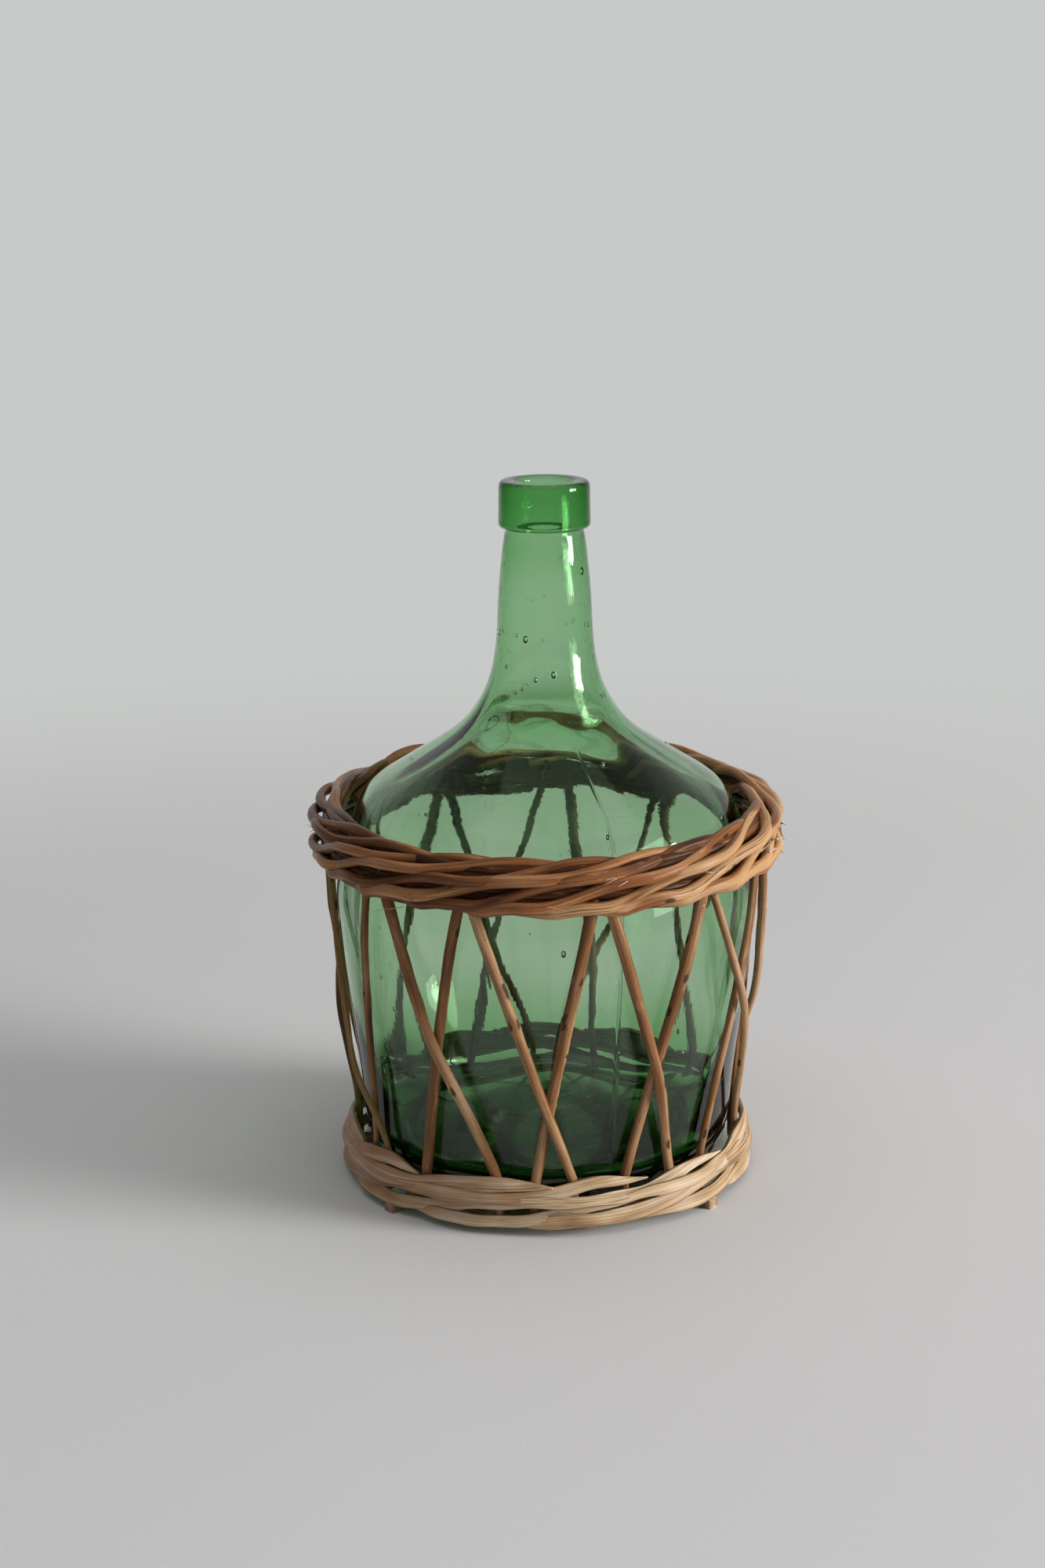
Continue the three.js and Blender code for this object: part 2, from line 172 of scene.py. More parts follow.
class Graph:
    """The node tree of one material or world."""

    def __init__(self, tree: bpy.types.NodeTree) -> None:
        """Start from an empty tree."""
        self.tree = tree
        tree.nodes.clear()

    def add(
        self,
        kind: str,
        settings: dict[str, object] | None = None,
        inputs: dict[str | int, Input] | None = None,
        output: str | int = 0,
    ) -> Socket:
        """Add any node.

        Args:
            kind: the node's type.
            settings: the node's own settings, or stops for a ramp.
            inputs: values or links by socket name or number.
            output: the output to hand back.

        Returns:
            The chosen output.
        """
        node = self.tree.nodes.new(kind)
        for name, value in (settings or {}).items():
            if name == "stops":
                self._set_stops(node.color_ramp, value)
            else:
                setattr(node, name, value)
        for name, value in (inputs or {}).items():
            socket = node.inputs[name]
            if isinstance(value, Socket):
                self.tree.links.new(value.source, socket)
            else:
                socket.default_value = value
        return Socket(self, node.outputs[output] if len(node.outputs) else node.inputs[0])

    @staticmethod
    def _set_stops(ramp: bpy.types.ColorRamp, stops: Sequence[tuple[float, Colour]]) -> None:
        """Give a ramp its stops.

        Args:
            ramp: the ramp.
            stops: places and colours, from low to high.
        """
        while len(ramp.elements) < len(stops):
            ramp.elements.new(1.0)
        for element, (position, colour) in zip(ramp.elements, stops):
            element.position = position
            element.color = (*colour, 1.0)

    def noise(self, vector: Socket, scale: Sequence[float], detail: float = 2.0) -> Socket:
        """Noise with its own scale along each axis of a coordinate.

        Args:
            vector: the coordinate.
            scale: cycles per metre along each axis.
            detail: the number of finer layers.

        Returns:
            A value about 0.5.
        """
        inputs = {"Vector": vector.stretched(scale), "Scale": 1.0, "Detail": detail}
        return self.add("ShaderNodeTexNoise", {"noise_dimensions": "3D"}, inputs)

    def attribute(self, name: str, output: str) -> Socket:
        """Read a value stored on the mesh."""
        return self.add("ShaderNodeAttribute", {"attribute_name": name}, output=output)

    def ramp(self, value: Socket, places: Sequence[float], colours: Sequence[Colour]) -> Socket:
        """Turn a value into a colour, by the places of the colours."""
        return self.add("ShaderNodeValToRGB", {"stops": list(zip(places, colours))}, {"Fac": value})

    def mix(self, share: Input, first: Input, second: Input) -> Socket:
        """Mix two colours.

        Args:
            share: how much of the second.
            first: a colour.
            second: a colour.

        Returns:
            The mixed colour.
        """
        first, second = (v if isinstance(v, Socket) else (*v, 1.0) for v in (first, second))
        settings = {"data_type": "RGBA", "blend_type": "MIX"}
        return self.add("ShaderNodeMix", settings, {0: share, 6: first, 7: second}, output=2)

    def bump(self, height: Socket, distance: float, strength: float) -> Socket:
        """Turn a height into a normal."""
        inputs = {"Height": height, "Distance": distance, "Strength": strength}
        return self.add("ShaderNodeBump", {}, inputs)

    def close(self, surface: dict[str, Input], **more: Socket) -> None:
        """End a material in one surface.

        Args:
            surface: values or links of the surface's sockets.
            more: what else the material has, such as a Volume.
        """
        shader = self.add("ShaderNodeBsdfPrincipled", {}, surface)
        self.add("ShaderNodeOutputMaterial", {}, {"Surface": shader, **more})


def new_material(name: str) -> tuple[Material, Graph]:
    """Make an empty node material.

    Args:
        name: the material's name.

    Returns:
        The material and its graph.
    """
    material = bpy.data.materials.new(name)
    material.use_nodes = True
    return material, Graph(material.node_tree)


# Finishes


@dataclass(frozen=True)
class GreenGlass:
    """Clear blown glass that is pale green in a thin wall and deep green in the lip."""

    name: str = "green_glass"
    taken_colour: Colour = (0.06, 0.62, 0.04)
    taken_density: float = 144.0
    refraction: float = 1.5
    haze: float = 0.05
    neck: Range = (0.225, 0.25)
    relief: Range = (0.0006, 0.12)

    def make(self) -> Material:
        """Build the glass, with smears in its gloss, faint ripples and drawn lines on the neck.

        Returns:
            The material.
        """
        material, graph = new_material(self.name)
        place = graph.add("ShaderNodeTexCoord", output="Object")
        smear = graph.noise(place, (28, 28, 14), 3.0)
        ripple = graph.noise(place, (60, 60, 22), 1.0)
        pebble = graph.noise(place, (300, 300, 220), 1.0)
        drawn = graph.noise(place, (1000, 1000, 90), 1.0)
        neck = place.part("Z").within(*self.neck)
        height = ripple + pebble * 0.1 + drawn * (0.07 + neck * 0.9)
        taken = {"Color": (*self.taken_colour, 1.0), "Density": self.taken_density}
        surface = {
            "Base Color": (1.0, 1.0, 1.0, 1.0),
            "Roughness": smear.within(0.55, 0.8) * self.haze,
            "IOR": self.refraction,
            "Transmission Weight": 1.0,
            "Normal": graph.bump(height, *self.relief),
        }
        graph.close(surface, Volume=graph.add("ShaderNodeVolumeAbsorption", {}, taken))
        return material


@dataclass(frozen=True)
class WillowBark:
    """Unpeeled willow: smooth bark with long streaks, flecks, splits and dark knots."""

    name: str
    dark: Colour
    middle: Colour
    light: Colour
    olive: Colour = (0.15, 0.12, 0.028)
    knot: Colour = (0.035, 0.02, 0.012)
    # Pale face colour: partly real split wood, partly a painted highlight on rods that face the light
    peeled_lit_wood: Colour = (0.54, 0.37, 0.2)
    gloss: float = 0.46
    shine: float = 0.28
    relief: Range = (0.0005, 0.5)
    tone_places: Triple = (0.2, 0.5, 0.85)
    peeled_lit_face: Range = (0.0012, 0.0019)

    def make(self) -> Material:
        """Build the bark from the grain, tint and knot values on each mesh.

        Returns:
            The material.
        """
        material, graph = new_material(self.name)
        grain = graph.attribute("grain", "Vector")
        tint = graph.attribute("tint", "Vector")
        peeled_and_lit = tint.part("Z")
        streak = graph.noise(grain, (26, 1100, 1100), 3.0)
        blotch = graph.noise(grain, (22, 140, 140), 2.0)
        fleck = graph.noise(grain, (420, 1300, 1300), 1.0).within(0.66, 0.74)
        scuff = graph.noise(grain, (70, 420, 420), 3.0).within(0.6, 0.75)
        split = graph.noise(grain, (16, 1500, 1500), 1.0).within(0.6, 0.68)
        ragged = graph.noise(grain, (450, 1400, 1400), 2.0)
        tone = streak * 0.6 + blotch * 0.9 + tint.part("X") - 0.25
        colour = graph.ramp(tone, self.tone_places, (self.dark, self.middle, self.light))
        colour = graph.mix(tint.part("Y") * blotch.within(0.3, 0.6), colour, self.olive)
        colour = graph.mix(scuff * 0.5, colour, self.light)
        colour = graph.mix(fleck * 0.55, colour, self.dark)
        # Partly real, partly painted highlight: marked rods get a pale face on their outward side, for
        # split wood and for the light on them
        face = (grain.part("Y") + streak * self.peeled_lit_face[0]).within(*self.peeled_lit_face)
        wood = graph.mix(streak.within(0.35, 0.65), self.light, self.peeled_lit_wood)
        colour = graph.mix(peeled_and_lit * (face * blotch.within(0.36, 0.48)), colour, wood)
        colour = graph.mix(split * (0.2 + peeled_and_lit * 0.7), colour, self.dark)
        mark = (graph.attribute("knot", "Fac") * 1.5 - ragged * 0.8).within(0.0, 0.4)
        colour = graph.mix(mark * 0.9, colour, self.knot)
        height = streak * 0.6 + blotch * 0.5 + fleck * 0.3 - mark * 0.6 - split * 0.5
        graph.close({
            "Base Color": colour,
            "Roughness": self.gloss + streak * 0.22 + scuff * 0.12,
            "Specular IOR Level": self.shine,
            "Normal": graph.bump(height, *self.relief),
        })
        return material


@dataclass(frozen=True)
class SplitWillow:
    """Willow split to a flat strip: pale wood, long fibres and a few brown stains."""

    name: str
    dark: Colour
    middle: Colour
    light: Colour
    # Painted shade: the warm brown and the span of -X over which strips on the side away from the light
    # are mixed toward it
    painted_shade: Colour = (0.34, 0.12, 0.032)
    painted_shade_side: Range = (-0.03, 0.09)
    gloss: float = 0.36
    shine: float = 0.8
    relief: Range = (0.0005, 0.4)
    tone_places: Triple = (0.22, 0.5, 0.82)

    def make(self) -> Material:
        """Build the split face from the grain, tint and knot values on each mesh.

        Returns:
            The material.
        """
        material, graph = new_material(self.name)
        grain = graph.attribute("grain", "Vector")
        fibre = graph.noise(grain, (14, 1900, 1900), 3.0)
        band = graph.noise(grain, (9, 420, 420), 2.0)
        stain = graph.noise(grain, (30, 160, 160), 3.0).within(0.58, 0.74)
        patch = graph.noise(grain, (32, 90, 90), 2.0)
        crack = graph.noise(grain, (9, 1300, 1300), 1.0).within(0.64, 0.7)
        tint = graph.attribute("tint", "Vector").part("X")
        tone = fibre * 0.7 + band * 0.6 + patch * 0.8 + tint - 0.51
        colour = graph.ramp(tone, self.tone_places, (self.dark, self.middle, self.light))
        colour = graph.mix(stain * 0.45, colour, self.dark)
        colour = graph.mix(crack * 0.6, colour, self.dark)
        # Painted shade: strips toward -X, on the side away from the light, are mixed toward a warm brown
        leftward = graph.add("ShaderNodeTexCoord", output="Object").part("X") * -1.0
        colour = graph.mix(leftward.within(*self.painted_shade_side) * 0.5, colour, self.painted_shade)
        # Dark edges and cut ends from the knot values: partly bark edges, partly painted shade of the
        # gaps between strips
        colour = graph.mix(graph.attribute("knot", "Fac") * 0.75, colour, self.dark)
        height = fibre * 0.8 + band * 0.3 - crack * 0.8
        graph.close({
            "Base Color": colour,
            "Roughness": self.gloss + fibre * 0.2,
            "Specular IOR Level": self.shine,
            "Normal": graph.bump(height, *self.relief),
        })
        return material


# Shapes


def smooth(value: np.ndarray, low: float, high: float) -> np.ndarray:
    """Ease from 0 at low to 1 at high."""
    share = np.clip((value - low) / (high - low), 0.0, 1.0)
    return share * share * (3.0 - 2.0 * share)


def wrapped(angle: float) -> float:
    """An angle as -180 to 180 degrees from the front."""
    return (angle + 180) % 360 - 180


def backward(angle: np.ndarray) -> np.ndarray:
    """How far angles are toward the back, from 0 at the front to 1."""
    return (1 - np.cos(np.radians(angle))) / 2


def unit(rows: np.ndarray) -> np.ndarray:
    """Rows as directions of length 1."""
    return rows / np.linalg.norm(rows, axis=-1, keepdims=True)


def run_of(path: np.ndarray) -> np.ndarray:
    """The length run at each point of a path."""
    return np.concatenate([[0.0], np.cumsum(np.linalg.norm(np.diff(path, axis=0), axis=1))])


def around(angle: np.ndarray, radius: np.ndarray, height: np.ndarray) -> np.ndarray:
    """Points round the axis.

    Args:
        angle: degrees from the front.
        radius: distances from the axis.
        height: heights.

    Returns:
        One row of x, y, z for each point.
    """
    turn = np.radians(angle)
    rows = np.broadcast_arrays(radius * np.sin(turn), -radius * np.cos(turn), height)
    return np.stack(rows, axis=-1)


def through(points: np.ndarray, count: int) -> np.ndarray:
    """A smooth curve through points, evenly spaced along its length.

    Args:
        points: rows of coordinates.
        count: how many points to hand back.

    Returns:
        Rows of coordinates.
    """
    ends = (2 * points[0] - points[1], 2 * points[-1] - points[-2])
    padded = np.vstack([ends[0], points, ends[1]])
    share = np.linspace(0, 1, 24, endpoint=False)[:, None]
    pieces = []
    for a, b, c, d in zip(padded, padded[1:], padded[2:], padded[3:]):
        cubic = -a + 3 * b - 3 * c + d
        square = 2 * a - 5 * b + 4 * c - d
        pieces.append(0.5 * (2 * b + (c - a) * share + square * share**2 + cubic * share**3))
    fine = np.vstack([*pieces, points[-1:]])
    run = run_of(fine)
    even = np.linspace(0, run[-1], count)
    return np.stack([np.interp(even, run, column) for column in fine.T], axis=-1)


def softened(values: np.ndarray, window: int) -> np.ndarray:
    """Smooth a row of values and keep its ends in place.

    Args:
        values: the values.
        window: how many neighbours are weighed together, an odd number.

    Returns:
        As many values.
    """
    weights = np.hanning(window + 2)[1:-1]
    padded = np.pad(values, window // 2, mode="reflect", reflect_type="odd")
    return np.convolve(padded, weights / weights.sum(), mode="valid")


def wander(chance: Chance, slow: float, fast: float, place: np.ndarray, count: int = 4) -> np.ndarray:
    """A smooth wobble, from a few sine waves.

    Args:
        chance: the source of chance.
        slow: fewest cycles per unit.
        fast: most cycles per unit.
        place: where to read it.
        count: how many waves.

    Returns:
        The wobble at the places, mostly within -1 to 1.
    """
    rates = chance.uniform(slow, fast, count)
    phases = chance.uniform(0, 2 * math.pi, count)
    waves = np.sin(2 * math.pi * rates * place[..., None] + phases)
    return waves.sum(axis=-1) / math.sqrt(count)


def ring_faces(stations: int, sides: int) -> tuple[list[list[int]], list[list[int]]]:
    """Faces of a row of rings, with a fan at each end round one more point.

    Args:
        stations: how many rings.
        sides: points in each ring.

    Returns:
        The faces between the rings, and those of the ends. The two middles follow the rings.
    """
    here = np.arange(stations * sides).reshape(stations, sides)
    there = np.roll(here, -1, axis=1)
    quads = np.stack([here[:-1], there[:-1], there[1:], here[1:]], axis=-1).reshape(-1, 4)
    middle = np.full(sides, stations * sides)
    first = np.stack([middle, there[0], here[0]], axis=-1)
    last = np.stack([middle + 1, here[-1], there[-1]], axis=-1)
    return quads.tolist(), [*first.tolist(), *last.tolist()]


def add_piece(name: str, points: np.ndarray, faces: Sequence[Sequence[int]], rounded: int) -> Piece:
    """Add a mesh to the scene.

    Args:
        name: the piece's name.
        points: rows of x, y, z.
        faces: the numbers of each face's points.
        rounded: how many faces, from the first, are shaded smooth.

    Returns:
        The new object.
    """
    mesh = bpy.data.meshes.new(name)
    mesh.from_pydata(points.tolist(), [], faces)
    mesh.polygons.foreach_set("use_smooth", np.arange(len(faces)) < rounded)
    mesh.validate()
    piece = bpy.data.objects.new(name, mesh)
    bpy.context.scene.collection.objects.link(piece)
    return piece


def joined(parts: Sequence[Piece], name: str) -> Piece:
    """Join objects into one.

    Args:
        parts: the objects.
        name: the name of the one that is left.

    Returns:
        The one object.
    """
    with bpy.context.temp_override(active_object=parts[0], selected_editable_objects=parts):
        bpy.ops.object.join()
    parts[0].name = name
    return parts[0]


@dataclass
class Skin:
    """Rings of points that become one closed mesh, with the values its finish reads."""

    rings: np.ndarray
    grain: np.ndarray
    knot: np.ndarray
    tint: Triple
    cut_end: float = 0.35

    def to_object(self, name: str) -> Piece:
        """Make the mesh, with a flat end at each side.

        Args:
            name: the piece's name.

        Returns:
            The new object, in the scene.
        """
        quads, ends = ring_faces(*self.rings.shape[:2])
        points, grain = (
            np.vstack([rows.reshape(-1, 3), rows[[0, -1]].mean(axis=1)])
            for rows in (self.rings, self.grain)
        )
        knot = np.concatenate([self.knot.ravel(), [self.cut_end, self.cut_end]])
        piece = add_piece(name, points, [*quads, *ends], len(quads))
        for label, values in (("grain", grain), ("tint", np.tile(self.tint, (len(points), 1)))):
            layer = piece.data.attributes.new(label, "FLOAT_VECTOR", "POINT")
            layer.data.foreach_set("vector", values.astype(np.float32).ravel())
        layer = piece.data.attributes.new("knot", "FLOAT", "POINT")
        layer.data.foreach_set("value", knot.astype(np.float32))
        return piece


@dataclass
class Length:
    """One length of willow along a path, round or split flat."""

    path: np.ndarray
    away: np.ndarray
    chance: Chance
    tint: Triple
    knots: int = 3
    lumps: float = 0.035
    lump_rates: Range = (12, 60)
    twist: float = 25.0
    swell: float = 0.09
    swell_length: float = 0.005
    knot_sizes: Range = (0.0016, 0.0034)
    bevel: float = 0.0008
    corner: Range = (0.08, 0.35)
    sway: float = 0.07
    sway_rates: Range = (8, 45)
    ridge: float = 0.1
    ridge_rates: Range = (10, 60)
    tip: float = 0.12
    out: np.ndarray = field(init=False)
    across: np.ndarray = field(init=False)
    run: np.ndarray = field(init=False)

    def __post_init__(self) -> None:
        """Work out the frame of every section along the path."""
        along = unit(np.gradient(self.path, axis=0))
        self.out = unit(self.away - along * np.sum(self.away * along, axis=1, keepdims=True))
        self.across = np.cross(along, self.out)
        self.run = run_of(self.path)

    def _skin(self, outward: np.ndarray, sideways: np.ndarray, knot: np.ndarray) -> Skin:
        """Place the sections.

        Args:
            outward: offsets along the first axis of each section.
            sideways: offsets along the second axis.
            knot: how much of a knot each point is.

        Returns:
            The closed skin.
        """
        rings = self.path[:, None] + outward[..., None] * self.out[:, None]
        rings = rings + sideways[..., None] * self.across[:, None]
        run = np.broadcast_to(self.run[:, None] + self.chance.uniform(0, 40), outward.shape)
        return Skin(rings, np.stack([run, outward, sideways], axis=-1), knot, self.tint)

    def round(self, radius: float | np.ndarray, sides: int = 14) -> Skin:
        """A round rod with a slightly uneven section, knots and bevelled ends.

        Args:
            radius: the rod's radius, or its radius along the path.
            sides: points round each section.

        Returns:
            The closed skin.
        """
        turn = np.linspace(0, 2 * math.pi, sides, endpoint=False)[None, :]
        run, last = self.run[:, None], self.run[-1]
        size = radius * (1 + self.lumps * wander(self.chance, *self.lump_rates, self.run))
        phase = self.chance.uniform(0, math.pi) + self.twist * run
        size = size[:, None] * (1 + self.lumps * np.cos(2 * turn + phase))
        mark = np.zeros_like(size)
        for _ in range(self.knots):
            gap = run - self.chance.uniform(0.04, 0.96) * last
            swing = np.angle(np.exp(1j * (turn - self.chance.uniform(0, 2 * math.pi))))
            reach = self.chance.uniform(*self.knot_sizes)
            swollen = np.exp(-((gap / self.swell_length) ** 2) - (swing / 1.4) ** 2)
            size = size * (1 + self.swell * swollen)
            mark = np.maximum(mark, np.exp(-((gap / reach) ** 2) - (swing / 0.42) ** 2))
        end = np.minimum(run, last - run)
        size = size * np.sqrt(0.72 + 0.28 * np.clip(end / self.bevel, 0, 1))
        return self._skin(size * np.cos(turn), size * np.sin(turn), mark)

    def _section(self) -> tuple[np.ndarray, np.ndarray]:
        """The section of a split strip.

        Returns:
            Places across the strip and through it, from -1 to 1, once round.
        """
        face = np.array([-1, -0.94, -0.45, 0, 0.45, 0.94, 1]) * (1 - self.corner[0])
        near, level = (1 - 0.3 * share for share in self.corner)
        edge = 1 - self.corner[1]
        side = [*face, near, 1, 1, near, *face[[6, 4, 3, 2, 0]], -near, -1, -1, -near]
        depth = [*np.ones(7), level, edge, -edge, -level, *-np.ones(5), -level, -edge, edge, level]
        return np.array([side]), np.array([depth])

    def flat(
        self, thickness: float, width: float | np.ndarray, crown: float = 0.0, slant: float = 0.0
    ) -> Skin:
        """A split strip with crisp edges that wander a little.

        Args:
            thickness: through the strip.
            width: across the strip, or across it along the path.
            crown: how far the middle of its face stands above the edges.
            slant: the length over which each end is cut away.

        Returns:
            The closed skin.
        """
        side, depth = self._section()
        run, last = self.run[:, None], self.run[-1]
        edges = [wander(self.chance, *self.sway_rates, run) for _ in range(2)]
        sway = self.sway * np.where(side > 0, *edges)
        whole = np.ones_like(run)
        if slant > 0:
            left = np.clip(np.minimum(run, last - run) / slant, 0, 1)
            whole = self.tip + (1 - self.tip) * np.sin(0.5 * math.pi * left)
        kept = np.where(run < 0.5 * last, -0.5, 0.5)
        sideways = (side * (0.5 + sway) * whole + kept * (1 - whole)) * np.reshape(width, (-1, 1))
        ridge = 1 + self.ridge * wander(self.chance, *self.ridge_rates, run)
        outward = 0.5 * thickness * depth * ridge + crown * (1 - side**2)
        # Darker edges: partly the strips' own brown bark edges, partly painted shade of the gaps between
        # strips
        mark = smooth(np.abs(side), 0.8, 1.0) * np.ones_like(sideways)
        return self._skin(outward, sideways, mark)


# Sub-assemblies


@dataclass
class Basket:
    """Sizes that the willow pieces share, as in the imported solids."""

    pairs: int = 11
    first_pair: float = 13.0
    spread: float = 6.0
    lean_right: float = 26.5
    lean_left: float = -15.0
    heel_radius: float = 0.0884
    widest_height: float = 0.139
    head_radius: float = 0.10375
    foot_radius: float = 0.09155
    head_height: float = 0.1706
    foot_height: float = 0.0065
    band_top: float = 0.0293
    rim_low: float = 0.1587
    rim_back_lift: float = 0.009
    rim_foot_lift: float = 0.004
    rim_rise: float = 0.0196

    @property
    def pitch(self) -> float:
        """Degrees from one stake pair to the next."""
        return 360.0 / self.pairs

    def rim_lift(self, angle: np.ndarray, height: np.ndarray) -> np.ndarray:
        """How much the rim is raised, at angles and heights, from what it is at the front."""
        share = np.clip((height - self.rim_low) / self.rim_rise, 0, 1)
        return backward(angle) * (self.rim_foot_lift + share * (self.rim_back_lift - self.rim_foot_lift))


@dataclass
class GlassBottle:
    """The blown bottle: one wall from the punt over the lip to the inside floor.

    Rows of profile and lip are a radius and a height in millimetres. Rows of punt and floor are a
    share of the rest ring's radius and millimetres above that ring. Rows of thicker are an extra
    share of the wall, the height where it starts and the height where it is whole.
    """

    chance: Chance
    wall: float = 0.0028
    thicker: tuple[Triple, ...] = ((0.22, 0.2, 0.23), (0.45, 0.28, 0.31), (2.2, 0.076, 0.018))
    inside_span: Range = (0.0245, 0.304)
    wall_rows: int = 150
    lip_rows: int = 52
    under_rows: int = 26
    columns: int = 132
    waves: int = 18
    uneven_inside: float = 0.00062
    uneven_outside: float = 0.00008
    uneven_radii: Range = (0.012, 0.05)
    uneven_heights: Range = (0.028, 0.06)
    seam_angle: float = 19.0
    seam_rise: float = 0.00036
    seam_width: float = 0.32
    seam_foot: Range = (0.02, 0.03)
    seam_top: Range = (0.225, 0.2)
    root_height: float = 0.2222
    root_ring: float = 0.0023
    root_width: float = 0.0066
    seeds: int = 140
    seed_sizes: Range = (0.00028, 0.0011)
    seed_stretch: float = 1.5
    profile: tuple[Range, ...] = (
        (71.0, 8.1), (79.7, 10.2), (85.3, 14.8), (88.4, 25.8), (90.9, 51.5), (94.1, 77.3),
        (97.0, 103.0), (99.1, 123.7), (100.6, 139.0), (98.9, 154.6), (96.1, 165.0), (92.4, 175.2),
        (89.0, 183.5), (83.4, 190.7), (73.7, 197.0), (63.9, 203.0), (54.2, 209.2), (44.8, 215.4),
        (38.0, 221.6), (32.7, 228.8), (28.2, 237.0), (24.8, 247.4), (22.6, 263.0), (22.0, 277.9),
        (20.7, 294.2), (19.2, 307.6), (18.2, 312.5),
    )
    lip: tuple[Range, ...] = (
        (18.3, 312.9), (19.4, 313.2), (20.9, 313.7), (21.5, 315.2), (21.4, 322.0), (21.3, 331.0),
        (21.0, 333.4), (20.2, 334.6), (18.8, 335.0), (16.2, 335.0), (14.2, 334.8), (13.2, 334.0),
        (12.9, 332.0), (13.2, 325.0), (13.9, 317.0), (14.6, 309.5),
    )
    punt: tuple[Range, ...] = ((0.0, 13.0), (0.35, 11.05), (0.7, 5.2), (0.9, 0.6), (1.0, 0.0))
    floor: tuple[Range, ...] = ((1.0, 10.8), (0.8, 13.5), (0.38, 24.8), (0.0, 28.5))

    def outside(self) -> np.ndarray:
        """The outer wall from the rest ring to the collar, smoothed."""
        curve = through(np.array(self.profile) * MM, self.wall_rows)
        return np.stack([softened(column, 9) for column in curve.T], axis=-1)

    def radius_at(self, height: np.ndarray) -> np.ndarray:
        """Outside radius of the glass at heights."""
        curve = self.outside()
        return np.interp(height, curve[:, 1], curve[:, 0])

    def _under(self, rows: Sequence[Range]) -> np.ndarray:
        """Radius and height of the rows of punt or floor."""
        ring, foot = self.profile[0]
        return np.array([(share * ring, foot + rise) for share, rise in rows]) * MM

    def outline(self) -> tuple[np.ndarray, np.ndarray]:
        """The whole outline from the punt to the inside floor.

        Returns:
            Rows of radius and height, and which of them are inside.
        """
        wall = self.outside()
        slope = unit(np.gradient(wall, axis=0))
        inward = np.stack([-slope[:, 1], slope[:, 0]], axis=-1)
        thick = 1 + sum(extra * smooth(wall[:, 1], none, full) for extra, none, full in self.thicker)
        inside = (wall + inward * self.wall * thick[:, None])[::-1]
        low, high = self.inside_span
        inside = inside[(inside[:, 1] > low) & (inside[:, 1] < high)][::2]
        punt = through(self._under(self.punt), self.under_rows)[:-1]
        lip = through(np.array(self.lip) * MM, self.lip_rows)
        floor = through(np.vstack([inside[-1:], self._under(self.floor)]), self.under_rows)[1:]
        rows = np.vstack([punt, wall, lip, inside, floor])
        return rows, np.arange(len(rows)) >= len(rows) - len(inside) - len(floor)

    def _from_seam(self, angles: np.ndarray) -> np.ndarray:
        """Degrees from the nearer of the two seams."""
        return np.abs((angles - self.seam_angle + 90) % 180 - 90)

    def _angles(self) -> np.ndarray:
        """Lay out the columns, closer together at the seams.

        Returns:
            Their angles, sorted.
        """
        even = np.linspace(0, 360, self.columns, endpoint=False)
        fine = np.array([-1.0, -0.6, -0.3, 0.0, 0.3, 0.6, 1.0])
        seams = np.concatenate([self.seam_angle + fine, self.seam_angle + 180 + fine])
        return np.sort(np.concatenate([even[self._from_seam(even) > 1.5], seams % 360]))

    def _uneven(self, turn: np.ndarray, height: np.ndarray) -> np.ndarray:
        """Slow waves round and up the wall.

        Args:
            turn: angles of the columns, in radians.
            height: heights of the rings.

        Returns:
            Values mostly within -1 to 1.
        """
        total = np.zeros((len(height), len(turn)))
        for _ in range(self.waves):
            rounds = self.chance.integers(1, 13)
            rise = self.chance.uniform(-80, 80)
            total += np.cos(rounds * turn + rise * height + self.chance.uniform(0, 6.3))
        return total / math.sqrt(self.waves)

    def _seam(self, angles: np.ndarray, height: np.ndarray) -> np.ndarray:
        """How far the seams stand out, from the heel to the shoulder."""
        line = np.exp(-((self._from_seam(angles) / self.seam_width) ** 2))
        return self.seam_rise * line * smooth(height, *self.seam_foot) * smooth(height, *self.seam_top)

    def _root(self, turn: np.ndarray, height: np.ndarray) -> np.ndarray:
        """The uneven ring inside the root of the neck.

        Args:
            turn: angles of the columns, in radians.
            height: heights of the rings.

        Returns:
            How far it stands inward.
        """
        middle = self.root_height + 0.0022 * np.cos(2 * turn + 1.0) + 0.0014 * np.cos(5 * turn)
        share = 0.15 + smooth(np.cos(turn) ** 2, 0.15, 0.6)
        return self.root_ring * share * np.exp(-(((height - middle) / self.root_width) ** 2))

    def _seeds(self) -> tuple[np.ndarray, list[list[int]]]:
        """Small air bubbles in the middle of the wall.

        Returns:
            The points of all of them, and their faces.
        """
        wall = self.outside()
        rings, sides = 3, 7
        lean = math.pi * np.arange(1, rings + 1)[:, None] / (rings + 1)
        turn = 2 * math.pi * np.arange(sides) / sides
        axes = (np.sin(lean) * np.cos(turn), np.sin(lean) * np.sin(turn), np.cos(lean))
        ball = np.stack(np.broadcast_arrays(*axes), axis=-1).reshape(-1, 3)
        ball = np.vstack([ball, UP, -UP]) * (1.0, 1.0, self.seed_stretch)
        quads, ends = ring_faces(rings, sides)
        points, faces = [], []
        for index in range(self.seeds):
            radius, height = wall[self.chance.integers(12, len(wall) - 4)]
            size = self.seed_sizes[0] + self.seed_sizes[1] * self.chance.random() ** 2
            middle = around(self.chance.uniform(0, 360), radius - 0.5 * self.wall, height - 0.0002)
            points.append(middle + size * ball)
            faces += [[number + index * len(ball) for number in face] for face in quads + ends]
        return np.vstack(points), faces

